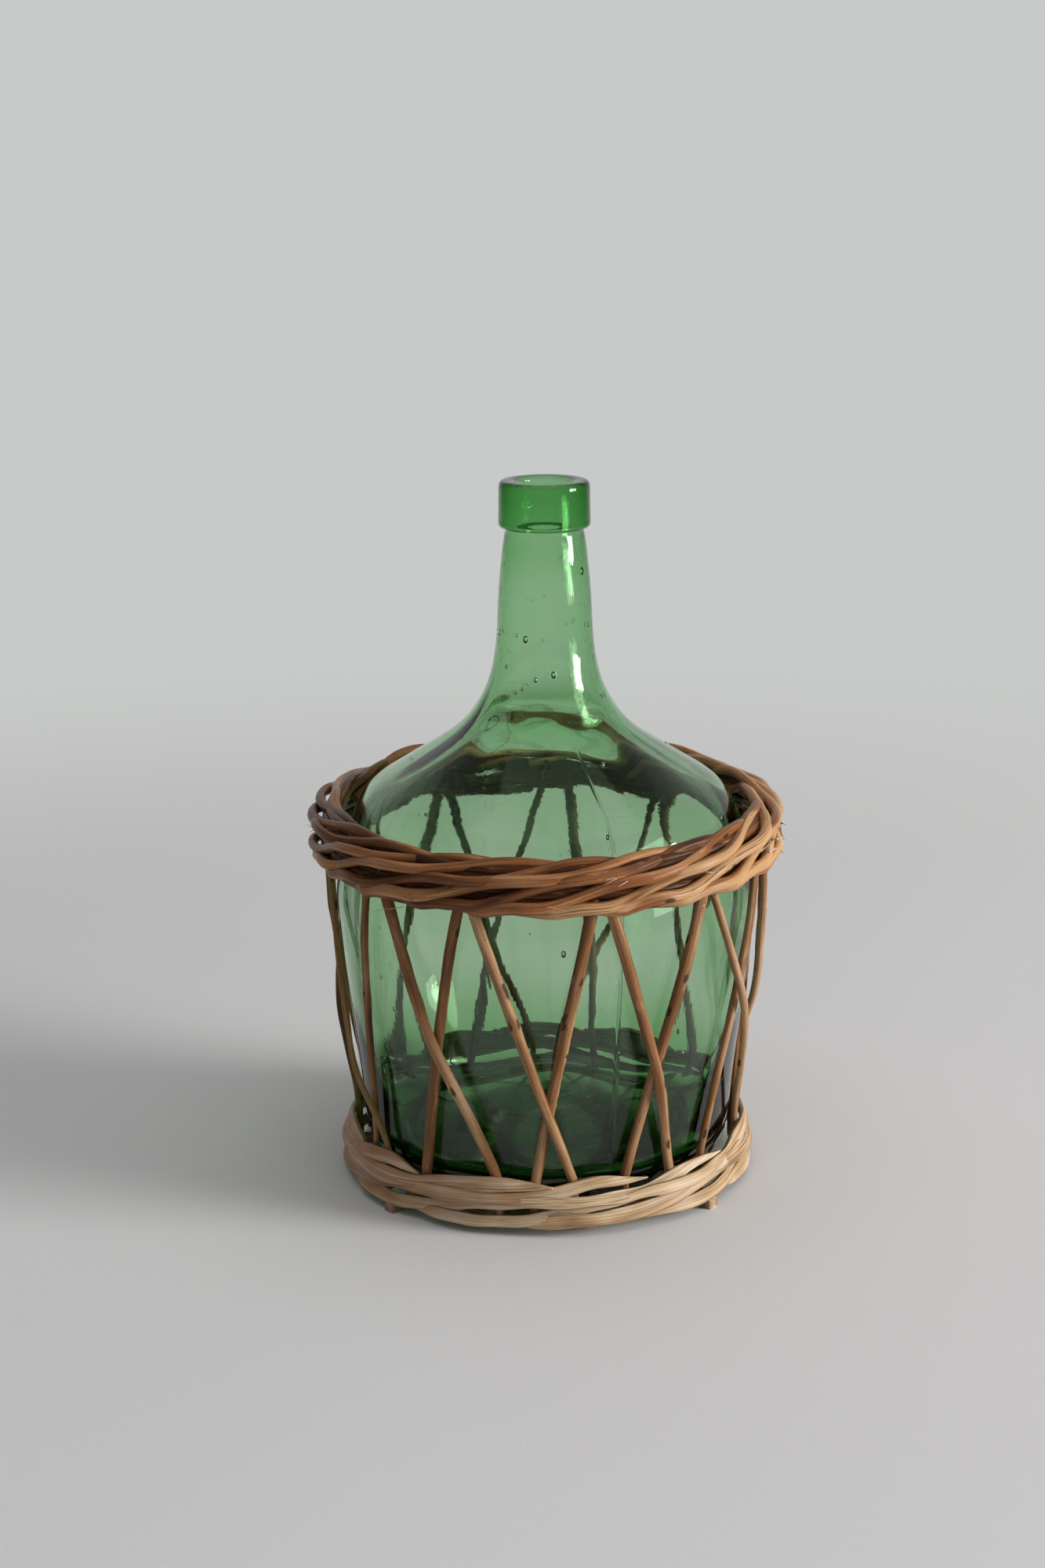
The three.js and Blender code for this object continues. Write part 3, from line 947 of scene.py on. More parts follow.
    def build(self) -> Made:
        """Turn the outline, with uneven walls, mould seams and seeds.

        Returns:
            The bottle with the node that it stands for.
        """
        rows, inner = self.outline()
        radius, height = (column[:, None] for column in rows[1:-1].T)
        inner = inner[1:-1, None]
        angles = self._angles()
        turn = np.radians(angles)
        amount = np.where(inner, self.uneven_inside, self.uneven_outside)
        amount = amount * smooth(radius, *self.uneven_radii)
        amount = amount * (0.3 + 0.7 * smooth(height, *self.uneven_heights))
        radius = radius + self._uneven(turn, height) * amount
        radius = radius + np.where(inner, -self._root(turn, height), self._seam(angles, height))
        rings = around(angles, radius, height)
        quads, ends = ring_faces(*radius.shape)
        points = np.vstack([rings.reshape(-1, 3), rows[[0, -1], 1:] * UP])
        seeds, seed_faces = self._seeds()
        seed_faces = [[number + len(points) for number in face] for face in seed_faces]
        faces = quads + ends + seed_faces
        bottle = add_piece("glass_bottle_blown", np.vstack([points, seeds]), faces, len(faces))
        return [(bottle, "glass_bottle")]


@dataclass
class Stakes:
    """Stakes from the foot band to the rim, in two layers that cross."""

    basket: Basket
    glass: GlassBottle
    chance: Chance
    radius: float = 0.0027
    thin_end: float = 0.0022
    gap: float = 0.0007
    clear: float = 0.0006
    right_top: tuple[float, ...] = (-0.5, -2.9, 0, 1.5, -1.5, 1, -1, 1.5, 4, 4.3, -2.5)
    right_foot: tuple[float, ...] = (-6.1, 1.8, 2, -2, 3, -2.5, 2, -3, 0.3, 6.8, -3.8)
    left_top: tuple[float, ...] = (0.9, -0.3, -6, -1.5, 1, -1, 1.5, -1, 1, 2.8, 0.2)
    left_foot: tuple[float, ...] = (1.6, -5, -9.1, 3, -2, 2.5, -3, 2, -2, 8.4, 0.2)
    slim: tuple[tuple[str, float], ...] = (
        ("stake_right_02", 0.75), ("stake_left_03", 0.8), ("stake_right_03", 0.82),
        ("stake_right_08", 0.74), ("stake_left_09", 0.74), ("stake_right_09", 0.66),
        ("stake_left_10", 0.66),
    )
    points: int = 80
    stray: float = 0.006
    crossing_drops: Range = (0.1, 0.97)
    knot_counts: tuple[int, int] = (5, 10)
    sizes: Range = (0.94, 1.04)
    tones: Range = (-0.06, 0.08)
    back_slimness: float = 0.8
    back_from: float = 110.0
    # Painted shade: how much darker the bark of stakes at the back and on the left side is made
    painted_back_shade: float = 0.3
    painted_left_shade: float = 0.12
    outer_tone: float = 0.17
    inner_tone: float = -0.02
    unripe: float = 0.9
    unripe_shares: Range = (0.3, 1.0)
    unripe_tops: Range = (-120.0, -60.0)

    def _ends(self, side: int, lean: float, top: Sequence[float], foot: Sequence[float]) -> list[Range]:
        """Where the stakes of one layer start and end.

        Args:
            side: 1 for the right stake of each pair, -1 for the left one.
            lean: degrees that it turns going down.
            top: shifts of each stake at the rim.
            foot: shifts at the foot band.

        Returns:
            The angles of each stake at the rim and at the foot band.
        """
        sizes = self.basket
        even = sizes.first_pair + sizes.pitch * np.arange(sizes.pairs) + side * sizes.spread / 2
        return list(zip(even + np.array(top), even + lean + np.array(foot)))

    def _route(self, top: float, foot: float, crossed: Sequence[float]) -> np.ndarray:
        """The middle line of one stake, taut between what it touches.

        Args:
            top: its angle at the rim.
            foot: its angle at the foot band.
            crossed: heights where it passes outside another stake.

        Returns:
            Points from the foot to the head.
        """
        sizes = self.basket
        head = sizes.head_height + sizes.rim_lift(top, sizes.head_height)
        height = np.linspace(sizes.foot_height, head, self.points)
        drop = np.clip((sizes.rim_low - height) / (sizes.rim_low - sizes.band_top), -0.02, 1.04)
        drop = drop + self.stray * wander(self.chance, 4, 11, height) * smooth(drop, 0, 0.1)
        radius = np.maximum(self.glass.radius_at(height), sizes.heel_radius) + self.gap + self.radius
        radius = np.where(height > sizes.widest_height, sizes.head_radius, radius)
        for crossing in crossed:
            touch = np.interp(crossing, height, radius) + 2 * self.radius + self.clear
            risen = (height - sizes.band_top) / (crossing - sizes.band_top)
            passed = (height - crossing) / (sizes.rim_low - crossing)
            below = sizes.foot_radius + (touch - sizes.foot_radius) * risen
            above = np.maximum(touch + (sizes.head_radius - touch) * passed, sizes.head_radius)
            radius = np.maximum(radius, np.minimum(below, above))
        return around(top + (foot - top) * drop, softened(radius, 17), height)

    def _crossings(self, top: float, foot: float, inner: Sequence[Range]) -> list[float]:
        """Heights where an outer stake passes over inner ones.

        Args:
            top: the outer stake's angle at the rim.
            foot: its angle at the foot band.
            inner: the same two angles of every inner stake.

        Returns:
            The heights.
        """
        sizes = self.basket
        heights = []
        for other_top, other_foot in inner:
            drop = (other_top - top) % 360 / ((foot - top) - (other_foot - other_top))
            if self.crossing_drops[0] < drop < self.crossing_drops[1]:
                heights.append(sizes.rim_low - drop * (sizes.rim_low - sizes.band_top))
        return heights

    def _rod(self, node: str, layer: Layer, top: float, path: np.ndarray) -> Piece:
        """Make one stake.

        Args:
            node: the node that it stands for.
            layer: the layer that it is in.
            top: its angle at the rim.
            path: its middle line.

        Returns:
            The piece.
        """
        outer = layer is Layer.OUTER
        behind = abs(wrapped(top)) > self.back_from
        tone = self.chance.uniform(*self.tones) + (self.outer_tone if outer else self.inner_tone)
        # Painted shade: stakes at the back and on the left, away from the light on the right, get darker
        # bark
        tone -= self.painted_back_shade * behind + self.painted_left_shade * max(0.0, -math.sin(math.radians(top)))
        low, high = self.unripe_tops
        green = self.unripe * (low < wrapped(top) < high) * self.chance.uniform(*self.unripe_shares)
        knots = int(self.chance.integers(*self.knot_counts))
        rod = Length(path, path * LEVEL, self.chance, (tone, green, 0.0), knots)
        slimness = dict(self.slim).get(node, self.back_slimness if behind else 1.0)
        thin = self.thin_end if outer else 0.5 * (self.thin_end + self.radius)
        radius = np.linspace(thin, self.radius, len(path))
        radius = self.chance.uniform(*self.sizes) * slimness * radius
        return rod.round(radius).to_object(f"{node}_willow")

    def build(self) -> Made:
        """Make every stake.

        Returns:
            Each piece with the node that it stands for.
        """
        made = []
        outer = self._ends(1, self.basket.lean_right, self.right_top, self.right_foot)
        inner = self._ends(-1, self.basket.lean_left, self.left_top, self.left_foot)
        for number, pair in enumerate(zip(outer, inner), start=1):
            for layer, (top, foot) in zip(Layer, pair):
                node = f"stake_{layer.value}_{number:02d}"
                crossed = self._crossings(top, foot, inner) if layer is Layer.OUTER else []
                path = self._route(top, foot, crossed)
                made.append((self._rod(node, layer, top, path), node))
        return made


@dataclass
class RimBand:
    """Rods rolled round the stake heads: up the outside, over the top and down the inside.

    Rows of section are a radius and a height in millimetres, from the tucked end of a rod.
    """

    basket: Basket
    chance: Chance
    radius: float = 0.0027
    tip: float = 0.0021
    step: float = 0.0056
    tuck: float = 10.0
    rods_per_node: int = 2
    swing: float = 0.0017
    swing_fade: float = 14.0
    drift: float = 0.035
    section_points: int = 300
    points: int = 150
    phases: Range = (-35, 35)
    knot_counts: tuple[int, int] = (2, 5)
    sizes: Range = (0.84, 1.14)
    tones: Range = (-0.15, 0.14)
    green_rod: int = 4
    green_share: float = 0.6
    # Painted light: rods on the right front, which face the light, get a lighter tone; faces_out turns
    # where it peaks and the next value sets how much
    faces_out: float = 30.0
    painted_light: float = 0.11
    peeled_lit_starts: Range = (-12.0, 32.0)
    peeled_lit_share: float = 0.65
    filling: int = 7
    filling_radius: float = 0.1048
    filling_shares: Range = (0.02, 0.9)
    filling_turn: float = 352.0
    filling_points: int = 200
    # Painted shade: the darker tones of the filling rods, for the shade inside the roll
    filling_shade_tones: Range = (-0.4, -0.2)
    section: tuple[Range, ...] = (
        (109.5, 158.9), (109.5, 162.8), (109.5, 170.4), (108.7, 174.2),
        (106.1, 177.3), (101.8, 178.3), (98.8, 176.9), (98.6, 173.8), (99.2, 169.8),
    )

    def _route(self, start: float) -> np.ndarray:
        """The middle line of one rod, which passes over and under its neighbours.

        Args:
            start: the angle where it comes outside the stakes.

        Returns:
            Points from the tucked end to the end inside the rim.
        """
        climb = through(np.array(self.section) * MM, self.section_points)
        slope = unit(np.gradient(climb, axis=0))
        pitch = self.basket.pitch / self.rods_per_node
        span = run_of(climb)[-1] / self.step * pitch
        turned = np.linspace(-self.tuck, span, self.points)
        share = np.clip(turned / span, 0, 1)
        share = share + self.drift * wander(self.chance, 0.006, 0.014, turned) * np.sin(math.pi * share)
        place = np.linspace(0, 1, len(climb))
        radius, height = (np.interp(share, place, column) for column in climb.T)
        lean, rise = (np.interp(share, place, column) for column in slope.T)
        phase = np.radians(180 / pitch * turned + self.chance.uniform(*self.phases))
        fade = smooth(turned, 0, self.swing_fade) * smooth(span - turned, 2, self.swing_fade)
        out = self.swing * np.sin(phase) * fade
        along = 1.1 * self.swing * np.cos(phase) * fade
        radius = radius + rise * out + lean * along
        height = height - lean * out + rise * along
        tucked = smooth(-turned, 0, 0.9 * self.tuck)
        radius = radius + tucked * (self.basket.head_radius - radius)
        angle = start + turned
        return around(angle, radius, height + self.basket.rim_lift(angle, height))

    def _rod(self, node: str, index: int, half: int) -> Piece:
        """Make one rim rod.

        Args:
            node: the node that it stands for.
            index: the node's place round the rim, from 0.
            half: the rod's place in the node, from 0.

        Returns:
            The rod.
        """
        place = index + 0.5 + half / self.rods_per_node
        start = wrapped(self.basket.first_pair + place * self.basket.pitch)
        path = self._route(start + self.tuck / 2)
        # Painted light: rods toward the right front, facing the light, get a lighter tone
        lit_side = math.sin(math.radians(start + self.faces_out))
        tone = self.chance.uniform(*self.tones) + self.painted_light * lit_side
        green = self.green_share * (index == self.green_rod and half == 0)
        # Partly real, partly painted highlight: rods that start at the right front, facing the light,
        # get pale faces for split wood and for the light on them
        peeled_and_lit = self.peeled_lit_share * (self.peeled_lit_starts[0] < start < self.peeled_lit_starts[1])
        knots = int(self.chance.integers(*self.knot_counts))
        rod = Length(path, path * LEVEL, self.chance, (tone, green, peeled_and_lit), knots)
        radius = self.radius + (self.tip - self.radius) * np.linspace(0, 1, len(path)) ** 2
        return rod.round(self.chance.uniform(*self.sizes) * radius).to_object(f"{node}_willow")

    def build(self) -> Made:
        """Make every rim rod.

        Returns:
            Each piece with the node that it stands for.
        """
        made = []
        for index in range(self.basket.pairs):
            node = f"rim_rod_{index + 1:02d}"
            rods = [self._rod(node, index, half) for half in range(self.rods_per_node)]
            made.append((joined(rods, f"{node}_willow"), node))
        return made

    def build_filling(self) -> Piece:
        """Make the rods laid inside the roll, which fill it.

        Returns:
            The rods, as one piece.
        """
        rods = []
        for share in np.linspace(*self.filling_shares, self.filling):
            angle = np.linspace(0, self.filling_turn, self.filling_points) + self.chance.uniform(0, 360)
            height = self.basket.rim_low + share * self.basket.rim_rise
            height = height + 0.0016 * wander(self.chance, 0.004, 0.012, angle)
            height = height + self.basket.rim_lift(angle, height)
            radius = self.filling_radius - 0.004 * share**3
            path = around(angle, radius + 0.0004 * wander(self.chance, 0.004, 0.02, angle), height)
            # Painted shade: the filling rods inside the roll get a darker tone, for the shade inside the
            # rim
            tint = (self.chance.uniform(*self.filling_shade_tones), 0.0, 0.0)
            rod = Length(path, path * LEVEL, self.chance, tint)
            rods.append(rod.round(self.radius, 12).to_object("rim_filling"))
        return joined(rods, "rim_filling")


@dataclass
class FootBand:
    """Flat splits that climb round the stake feet and lap over each other."""

    basket: Basket
    chance: Chance
    width: float = 0.0082
    thickness: float = 0.0019
    crown: float = 0.0002
    swing: float = 0.0012
    swing_fade: Range = (2.0, 22.0)
    slant: float = 0.03
    rise: float = 0.0050
    low: float = 0.0043
    span: float = 137.0
    radius: float = 0.09703
    first: float = -43.1
    lean: float = 21.0
    back_lift: float = 0.45
    back_lean: float = 6.0
    back_room: float = 0.0025
    room_heights: Range = (0.012, 0.028)
    tip_tuck: float = 0.0026
    tip_turn: float = 26.0
    start: float = -2.0
    points: int = 150
    overruns: Range = (-4, 9)
    phases: Range = (-40, 40)
    tones: Range = (-0.16, 0.14)
    widths: Range = (0.68, 0.98)

    def _strip(self, first: float) -> Skin:
        """Make one split.

        Args:
            first: the angle where it starts.

        Returns:
            Its closed skin.
        """
        last = self.span + self.chance.uniform(*self.overruns)
        turned = np.linspace(self.start, last, self.points)
        phase = np.radians(180 / self.basket.pitch * turned + self.chance.uniform(*self.phases))
        fade = smooth(turned, *self.swing_fade) * smooth(self.span - turned, *self.swing_fade)
        climb = self.rise * turned / self.basket.pitch
        climb = climb + 0.0007 * wander(self.chance, 0.004, 0.012, turned)
        climb = climb + 1.5 * self.swing * np.cos(phase) * fade
        behind = backward(first + turned) ** 3
        room = self.back_room * behind * smooth(self.low + climb, *self.room_heights)
        radius = self.radius + room + 0.0003 * wander(self.chance, 0.006, 0.02, turned)
        radius = radius + self.swing * np.sin(phase) * fade
        radius = radius - (self.tip_tuck + room) * smooth(turned, last - self.tip_turn, last)
        height = self.low + np.maximum(climb * (1 + self.back_lift * behind), 0)
        path = around(first + turned, radius, height)
        lean = self.lean + self.back_lean * behind + 7 * wander(self.chance, 0.006, 0.02, turned)
        lean = np.radians(lean)[:, None]
        away = np.cos(lean) * unit(path * LEVEL) + np.sin(lean) * UP
        strip = Length(path, away, self.chance, (self.chance.uniform(*self.tones), 0.0, 0.0))
        width = self.chance.uniform(*self.widths) + 0.07 * wander(self.chance, 0.005, 0.015, turned)
        width = self.width * width * (1 + 1.25 * self.back_lift * behind)
        return strip.flat(self.thickness, width, self.crown, self.slant)

    def build(self) -> Made:
        """Make every split.

        Returns:
            Each piece with the node that it stands for.
        """
        made = []
        for index in range(self.basket.pairs):
            node = f"base_split_{index + 1:02d}"
            strip = self._strip(self.first + index * self.basket.pitch)
            made.append((strip.to_object(f"{node}_willow"), node))
        return made


@dataclass
class BaseWork:
    """Crossed sticks under the bottle and the flat weavers that bind them."""

    basket: Basket
    chance: Chance
    stick_width: float = 0.0064
    stick_height: float = 0.004
    stick_crown: float = 0.0002
    stick_gap: float = 0.0006
    crossing_gap: float = 0.0003
    bends: tuple[float, ...] = (0.9, 1.25, 1.9, 2.5, 3.1)
    level: float = 0.0039
    fan: float = 30.0
    reach: float = 0.0942
    showing: float = 0.1010
    dip_start: float = 0.0806
    upper_angle: float = -18.0
    weaver_width: float = 0.010
    weaver_thickness: float = 0.0016
    weaver_lift: float = 0.0031
    weaver_shares: Range = (0.9, 0.94)
    weaver_radii: tuple[float, ...] = (0.074, 0.062, 0.050)
    weaver_end: float = 1.2
    inner_turn: float = 0.038
    stick_points: int = 70
    weaver_points: int = 220
    stick_tones: Range = (-0.2, 0.05)
    weaver_tones: Range = (-0.15, 0.1)

    @property
    def lower_angle(self) -> float:
        """Angle of the lower group of sticks."""
        return self.upper_angle + 3 * self.basket.pitch

    def _spot(self, group: float, place: int, crossing: float, distance: float) -> np.ndarray:
        """One point of a stick: side by side in the middle, fanned out beyond.

        Args:
            group: the angle of its group.
            place: -1, 0 or 1 across the group.
            crossing: its height where the groups cross.
            distance: from the middle, below 0 toward the back end.

        Returns:
            The point.
        """
        pitch = self.stick_width + self.stick_gap
        half = 1.5 * pitch
        level = smooth(abs(distance), self.bends[2] * half, self.bends[4] * half)
        level = crossing + (self.level - crossing) * level
        if abs(distance) < half:
            return around(group, distance, level) + around(group + 90, pitch * place, 0.0)
        turn = self.fan * place if distance > 0 else 180 - self.fan * place
        return around(group + turn, abs(distance), level)

    def _stick(self, group: float, place: int, crossing: float, showing: bool) -> np.ndarray:
        """The middle line of one stick.

        Args:
            group: the angle of its group.
            place: -1, 0 or 1 across the group.
            crossing: its height where the groups cross.
            showing: whether its front end dips and comes out under the foot band.

        Returns:
            Points from the back end to the front end.
        """
        bends = 1.5 * (self.stick_width + self.stick_gap) * np.array(self.bends)
        front = [self.dip_start, self.reach, self.showing] if showing else [self.reach]
        distances = [-self.reach, *-bends[::-1], *bends, *front]
        points = np.array([self._spot(group, place, crossing, distance) for distance in distances])
        if showing:
            points[-2:, 2] = self.stick_height / 2
        return through(points, self.stick_points)

    def _weaver(self, spokes: np.ndarray, radius: float, side: int) -> np.ndarray:
        """The middle line of a weaver.

        Args:
            spokes: angles of the stick ends, sorted.
            radius: its distance from the axis.
            side: 1 to start over the first stick, -1 to start under it.

        Returns:
            Points all the way round, short of a closed ring.
        """
        knots = np.concatenate([spokes, [spokes[0] + 360]])
        signs = side * (-1.0) ** np.arange(len(knots))
        ends = (knots[0] + self.weaver_end, knots[-1] - self.weaver_end)
        angle = np.linspace(*ends, self.weaver_points)
        after = np.clip(np.searchsorted(knots, angle), 1, len(knots) - 1)
        between = knots[after] - knots[after - 1]
        share = (angle - knots[after - 1]) / between
        rest = (self.stick_width / 2 + self.weaver_thickness) / (radius - self.weaver_width / 2)
        rest = np.degrees(rest) / between
        swing = np.clip((share - rest) / (1 - 2 * rest), 0, 1)
        level = signs[after - 1] * (1 - 2 * smooth(swing, 0, 1))
        return around(angle, radius, self.level + self.weaver_lift * level)

    def _weavers(self, spokes: np.ndarray) -> Made:
        """Make the weavers. The innermost turn is a part of the last one.

        Args:
            spokes: angles of the stick ends, sorted.

        Returns:
            Each piece with the node that it stands for.
        """
        turns = []
        thickness, width = np.array(self.weaver_shares) * (self.weaver_thickness, self.weaver_width)
        for index, radius in enumerate((*self.weaver_radii, self.inner_turn)):
            path = self._weaver(spokes, radius, 1 if index % 2 == 0 else -1)
            strip = Length(path, UP, self.chance, (self.chance.uniform(*self.weaver_tones), 0.0, 0.0))
            turns.append(strip.flat(thickness, width).to_object(f"base_weaver_{index + 1:02d}_willow"))
        turns[-2:] = [joined(turns[-2:], turns[-2].name)]
        return [(turn, turn.name.removesuffix("_willow")) for turn in turns]

    def build(self) -> Made:
        """Make the sticks and weavers.

        Returns:
            Each piece with the node that it stands for.
        """
        made, spokes = [], []
        low = self.stick_height / 2
        high = low + self.stick_height + self.crossing_gap
        groups = ((Group.UPPER, self.upper_angle, high), (Group.LOWER, self.lower_angle, low))
        for group, angle, crossing in groups:
            for index, place in enumerate((-1, 0, 1)):
                path = self._stick(angle, place, crossing, index == 0)
                tint = (self.chance.uniform(*self.stick_tones), 0.0, 0.0)
                stick = Length(path, UP, self.chance, tint)
                skin = stick.flat(self.stick_height, self.stick_width, self.stick_crown)
                node = f"base_stick_{group.value}_{index + 1:02d}"
                made.append((skin.to_object(f"{node}_willow"), node))
                spokes += [angle + self.fan * place, angle + 180 - self.fan * place]
        return made + self._weavers(np.sort(np.mod(spokes, 360)))


@dataclass
class Slivers:
    """Loose fibres that stand off the rim and the foot band.

    A zone is a distance from the axis, a lowest height and a highest one.
    """

    chance: Chance
    count: int = 46
    thickness: float = 0.00022
    lengths: Range = (0.003, 0.009)
    foot_share: float = 0.62
    foot_zone: Triple = (0.0968, 0.004, 0.026)
    rim_zone: Triple = (0.1128, 0.153, 0.176)
    front_left: Triple = (-36.0, 0.1105, 0.1562)
    front_left_length: float = 0.017
    splinters: int = 8
    splinter_angles: Range = (62.0, 88.0)
    splinter_zone: Triple = (0.1118, 0.158, 0.172)
    splinter_lengths: Range = (0.006, 0.011)
    splinter_thickness: float = 0.0006
    points: int = 9
    sides: int = 5
    tint: Triple = (0.15, 0.0, 0.0)

    def _plan(self, angles: Range, zone: Triple, lengths: Range, thickness: float) -> tuple[float, ...]:
        """Pick where a fibre grows.

        Args:
            angles: the angles to pick from.
            zone: its distance from the axis and the heights to pick from.
            lengths: the lengths to pick from.
            thickness: its thickness.

        Returns:
            Its angle, distance, height, length and thickness.
        """
        angle, height = self.chance.uniform(*angles), self.chance.uniform(*zone[1:])
        return angle, zone[0], height, self.chance.uniform(*lengths), thickness

    def build(self) -> Piece:
        """Make all the fibres.

        Returns:
            The fibres, as one piece.
        """
        parts = []
        plans = [(*self.front_left, self.front_left_length, self.thickness)]
        for _ in range(self.count):
            zone = self.foot_zone if self.chance.random() < self.foot_share else self.rim_zone
            plans.append(self._plan((0, 360), zone, self.lengths, self.thickness))
        splinter = (self.splinter_angles, self.splinter_zone, self.splinter_lengths)
        plans += [self._plan(*splinter, self.splinter_thickness) for _ in range(self.splinters)]
        share = np.linspace(0, 1, self.points)
        for angle, radius, height, length, thickness in plans:
            sweep = self.chance.choice([-1, 1]) * np.degrees(length / radius)
            lift = self.chance.uniform(-0.4, 0.4) * length
            stand = radius + 0.3 * length * share**1.6
            path = around(angle + sweep * share, stand, height + lift * share)
            fibre = Length(path, UP, self.chance, self.tint, knots=0)
            parts.append(fibre.round(thickness * (1 - 0.75 * share), self.sides).to_object("sliver"))
        return joined(parts, "loose_fibres")


@dataclass(frozen=True)
class Lamp:
    """A soft lamp aimed at the bottle, which its reflections show or not."""

    name: str
    place: Triple
    size: Range
    power: float
    colour: Colour
    mirrored: bool
    target: Triple = (0.0, 0.0, 0.15)

    def hang(self) -> None:
        """Add the lamp to the scene."""
        lamp = bpy.data.lights.new(self.name, "AREA")
        lamp.shape = "RECTANGLE"
        lamp.size, lamp.size_y = self.size
        lamp.energy = self.power
        lamp.color = self.colour
        holder = bpy.data.objects.new(self.name, lamp)
        holder.location = self.place
        aim = Vector(self.target) - Vector(self.place)
        holder.rotation_euler = aim.to_track_quat("-Z", "Y").to_euler()
        holder.visible_glossy = self.mirrored
        bpy.context.scene.collection.objects.link(holder)


@dataclass
class Studio:
    """Pale floor, soft light and the photographed view."""

    distance: float = 1.264
    eye_height: float = 0.517
    pitch: float = 14.52
    roll: float = -0.4
    aside: float = -0.0110
    lens_pixels: float = 3500.0
    backdrop: Colour = (0.575, 0.588, 0.577)
    floor: Colour = (0.78, 0.775, 0.785)
    floor_shade: float = 0.95
    floor_reach: float = 4.0
    floor_steps: int = 40
    fade: Range = (0.4, 1.2)
    ambient: float = 0.22
    ambient_colour: Colour = (1.0, 0.98, 0.95)
    mirrored: float = 0.2
    lamps: tuple[Lamp, ...] = (
        Lamp("window", (3.65, -0.95, 0.9), (1.1, 1.25), 82.0, (1.0, 0.985, 0.96), True),
        Lamp("daylight", (3.65, -1.1, 1.1), (1.8, 2.2), 98.0, (1.0, 0.985, 0.96), False),
        Lamp("ceiling", (0.6, -0.5, 5.0), (6.0, 6.0), 80.0, (0.97, 0.98, 1.0), False),
    )

    def _world(self) -> None:
        """Plain ambient light, a pale backdrop, and a dimmer room above and in front of it."""
        world = bpy.data.worlds.new("studio")
        world.use_nodes = True
        bpy.context.scene.world = world
        graph = Graph(world.node_tree)

        def light(colour: Colour, strength: Input) -> Socket:
            """Light of one colour from all round."""
            return graph.add("ShaderNodeBackground", {}, {"Color": (*colour, 1.0), "Strength": strength})

        kinds = ("Is Camera Ray", "Is Glossy Ray", "Is Transmission Ray")
        seen, glossy, clear = (graph.add("ShaderNodeLightPath", output=kind) for kind in kinds)
        heading = graph.add("ShaderNodeTexCoord", output="Generated")
        dimmed = 1.0 - heading.part("Z").within(0.2, 0.65) * (1 - self.mirrored)
        behind = self.mirrored + heading.part("Y").within(0.45, 0.92) * (1 - self.mirrored)
        soft = light(self.ambient_colour, self.ambient)
        reflected = light(self.backdrop, behind)
        shown = light(self.backdrop, seen.largest(dimmed))
        surface = graph.add("ShaderNodeMixShader", {}, {0: glossy, 1: soft, 2: reflected})
        surface = graph.add("ShaderNodeMixShader", {}, {0: seen.largest(clear), 1: surface, 2: shown})
        graph.add("ShaderNodeOutputWorld", {}, {"Surface": surface})

    def _floor_finish(self) -> Material:
        """A pale finish that fades out far from the object.

        Returns:
            The material.
        """
        material, graph = new_material("pale_floor")
        place = graph.add("ShaderNodeTexCoord", output="Object")
        weave = graph.noise(place, (900, 900, 900), 2.0)
        drift = graph.noise(place, (2.0, 2.0, 2.0), 2.0)
        shade = tuple(self.floor_shade * part for part in self.floor)
        colour = graph.mix(drift.within(0.3, 0.7) * 0.5, self.floor, shade)
        sheet = {"Base Color": colour, "Roughness": 0.85, "Normal": graph.bump(weave, 0.0003, 0.15)}
        surface = graph.add("ShaderNodeBsdfPrincipled", {}, sheet)
        away = graph.add("ShaderNodeVectorMath", {"operation": "LENGTH"}, {0: place}, "Value")
        gone = graph.add("ShaderNodeBsdfTransparent")
        faded = graph.add("ShaderNodeMixShader", {}, {0: away.within(*self.fade), 1: surface, 2: gone})
        graph.add("ShaderNodeOutputMaterial", {}, {"Surface": faded})
        return material

    def _floor(self) -> Piece:
        """A wide pale sheet under the object.

        Returns:
            The sheet.
        """
        spots = np.linspace(-self.floor_reach, self.floor_reach, self.floor_steps + 1)
        points = np.array([(x, y, 0.0) for y in spots for x in spots])
        number = np.arange(len(points)).reshape(len(spots), len(spots))
        corners = (number[:-1, :-1], number[:-1, 1:], number[1:, 1:], number[1:, :-1])
        faces = np.stack(corners, axis=-1).reshape(-1, 4).tolist()
        floor = add_piece("floor", points, faces, 0)
        floor.data.materials.append(self._floor_finish())
        return floor

    def _camera(self) -> None:
        """Stand the camera where the photograph was taken from."""
        lens = bpy.data.cameras.new("camera")
        lens.sensor_width = 36.0
        lens.lens = self.lens_pixels / max(PICTURE) * lens.sensor_width
        camera = bpy.data.objects.new("camera", lens)
        turn = Euler((math.radians(90 - self.pitch), 0.0, 0.0)).to_matrix()
        camera.rotation_euler = (turn @ Matrix.Rotation(math.radians(self.roll), 3, "Z")).to_euler()
        camera.location = (self.aside, -self.distance, self.eye_height)
        bpy.context.scene.collection.objects.link(camera)
        bpy.context.scene.camera = camera

    def build(self) -> None:
        """Set up the floor, the light and the camera."""
        self._floor()
        self._world()
        for lamp in self.lamps:
            lamp.hang()
        self._camera()
        bpy.context.scene.view_settings.view_transform = "Standard"


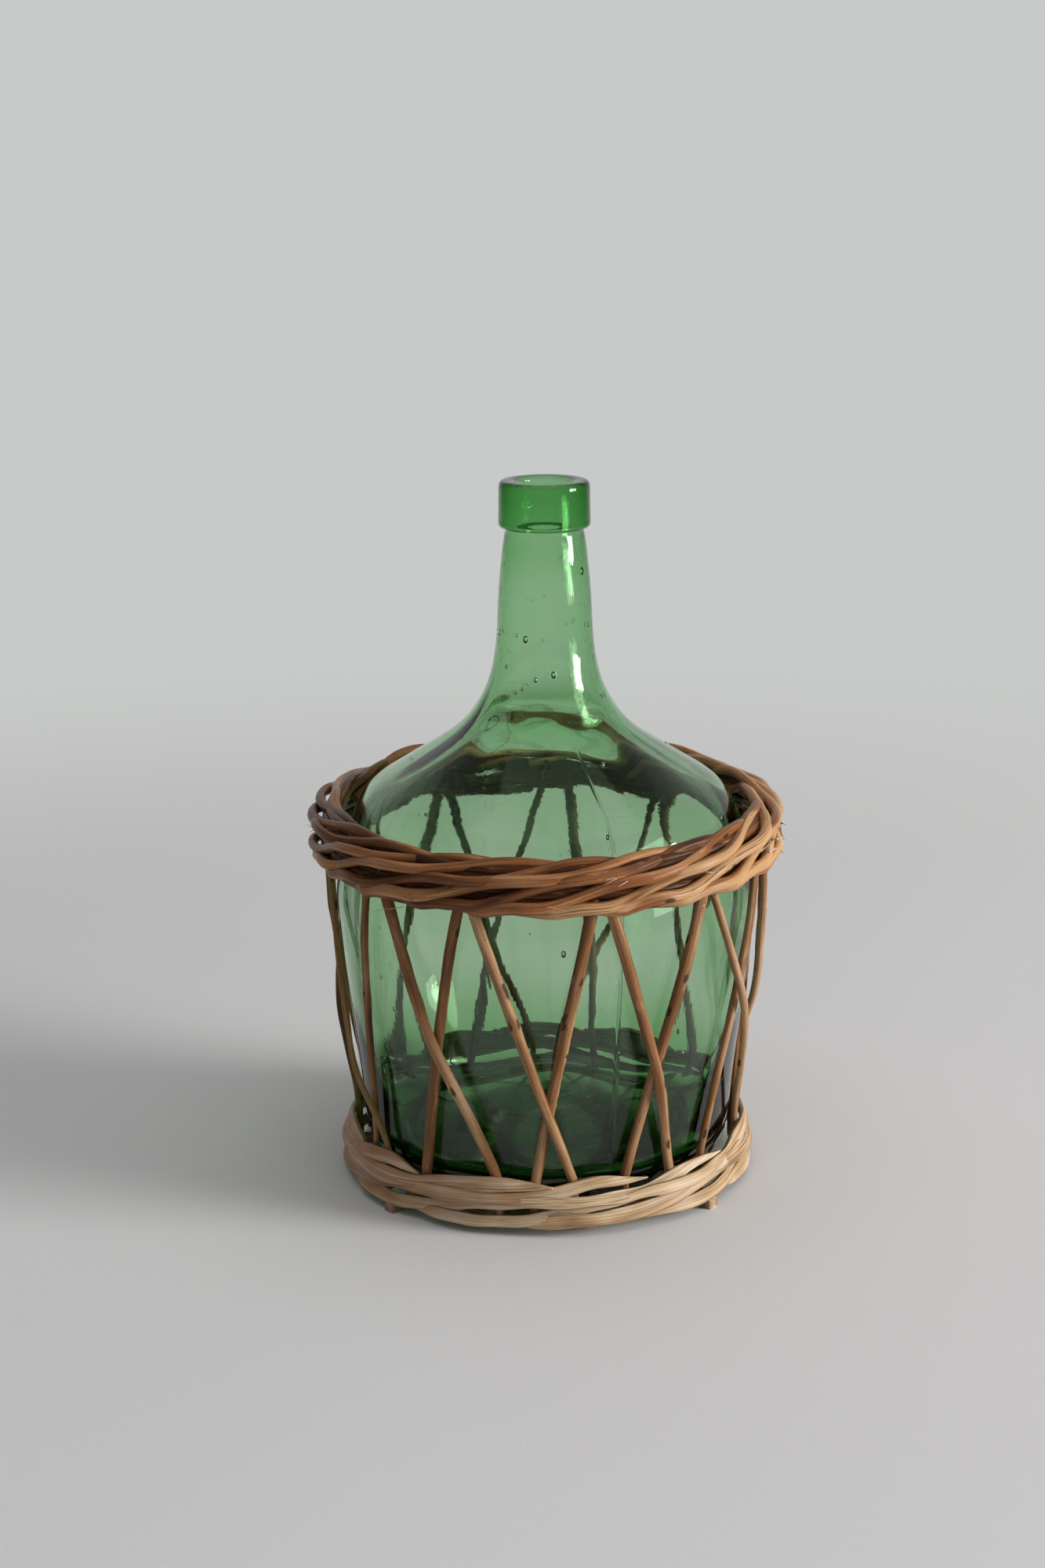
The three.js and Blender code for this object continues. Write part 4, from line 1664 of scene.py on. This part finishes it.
@dataclass
class Demijohn:
    """The whole object: every sub-assembly with its finish and body."""

    basket: Basket = field(default_factory=Basket)
    seed: int = 20
    green_glass: GreenGlass = GreenGlass()
    rim_bark: WillowBark = WillowBark(
        "rim_bark", (0.065, 0.021, 0.008), (0.29, 0.112, 0.04), (0.59, 0.33, 0.15), gloss=0.25
    )
    stake_bark: WillowBark = WillowBark(
        "stake_bark", (0.085, 0.033, 0.012), (0.26, 0.118, 0.043), (0.53, 0.335, 0.19)
    )
    split_wood: SplitWillow = SplitWillow(
        "split_wood", (0.17, 0.075, 0.027), (0.48, 0.31, 0.15), (0.8, 0.68, 0.51)
    )
    base_wood: SplitWillow = SplitWillow(
        "base_wood", (0.2, 0.11, 0.05), (0.42, 0.27, 0.14), (0.58, 0.42, 0.25)
    )

    def build(self) -> None:
        """Build and dress each sub-assembly in order, each with its own source of chance."""
        blown, rolled, staked, banded, crossed, frayed = (
            np.random.default_rng((self.seed, number)) for number in range(6)
        )
        glass = GlassBottle(blown)
        self._dress(glass.build(), self.green_glass.make(), Body.BOTTLE, Slot.GLASS)
        rim, bark = RimBand(self.basket, rolled), self.rim_bark.make()
        self._dress(rim.build(), bark, Body.BASKET, Slot.RIM)
        self._dress([(rim.build_filling(), None)], bark, Body.BASKET, Slot.RIM)
        stakes = Stakes(self.basket, glass, staked).build()
        self._dress(stakes, self.stake_bark.make(), Body.BASKET, Slot.STAKE)
        wood = self.split_wood.make()
        self._dress(FootBand(self.basket, banded).build(), wood, Body.BASKET, Slot.SPLIT)
        base = BaseWork(self.basket, crossed).build()
        self._dress(base, self.base_wood.make(), Body.BASKET, Slot.BASE)
        self._dress([(Slivers(frayed).build(), None)], wood, Body.BASKET, Slot.SPLIT)

    @staticmethod
    def _dress(
        pieces: Sequence[tuple[Piece, str | None]], material: Material, body: Body, slot: Slot
    ) -> None:
        """Give pieces their finish and body.

        Args:
            pieces: each piece with the node that it stands for, if any.
            material: the finish.
            body: the body that they ride on.
            slot: the record's slot; not used.
        """
        for piece, node in pieces:
            piece.data.materials.append(material)
            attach(piece, body.value)
            if node is not None:
                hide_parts(node)
            log.info("%s rides on %s", piece.name, body.value)


def main() -> None:
    """Load the frame, build the object and its studio."""
    logging.basicConfig(level=logging.INFO, format="%(message)s")
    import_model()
    Demijohn().build()
    Studio().build()


if __name__ == "__main__":
    main()
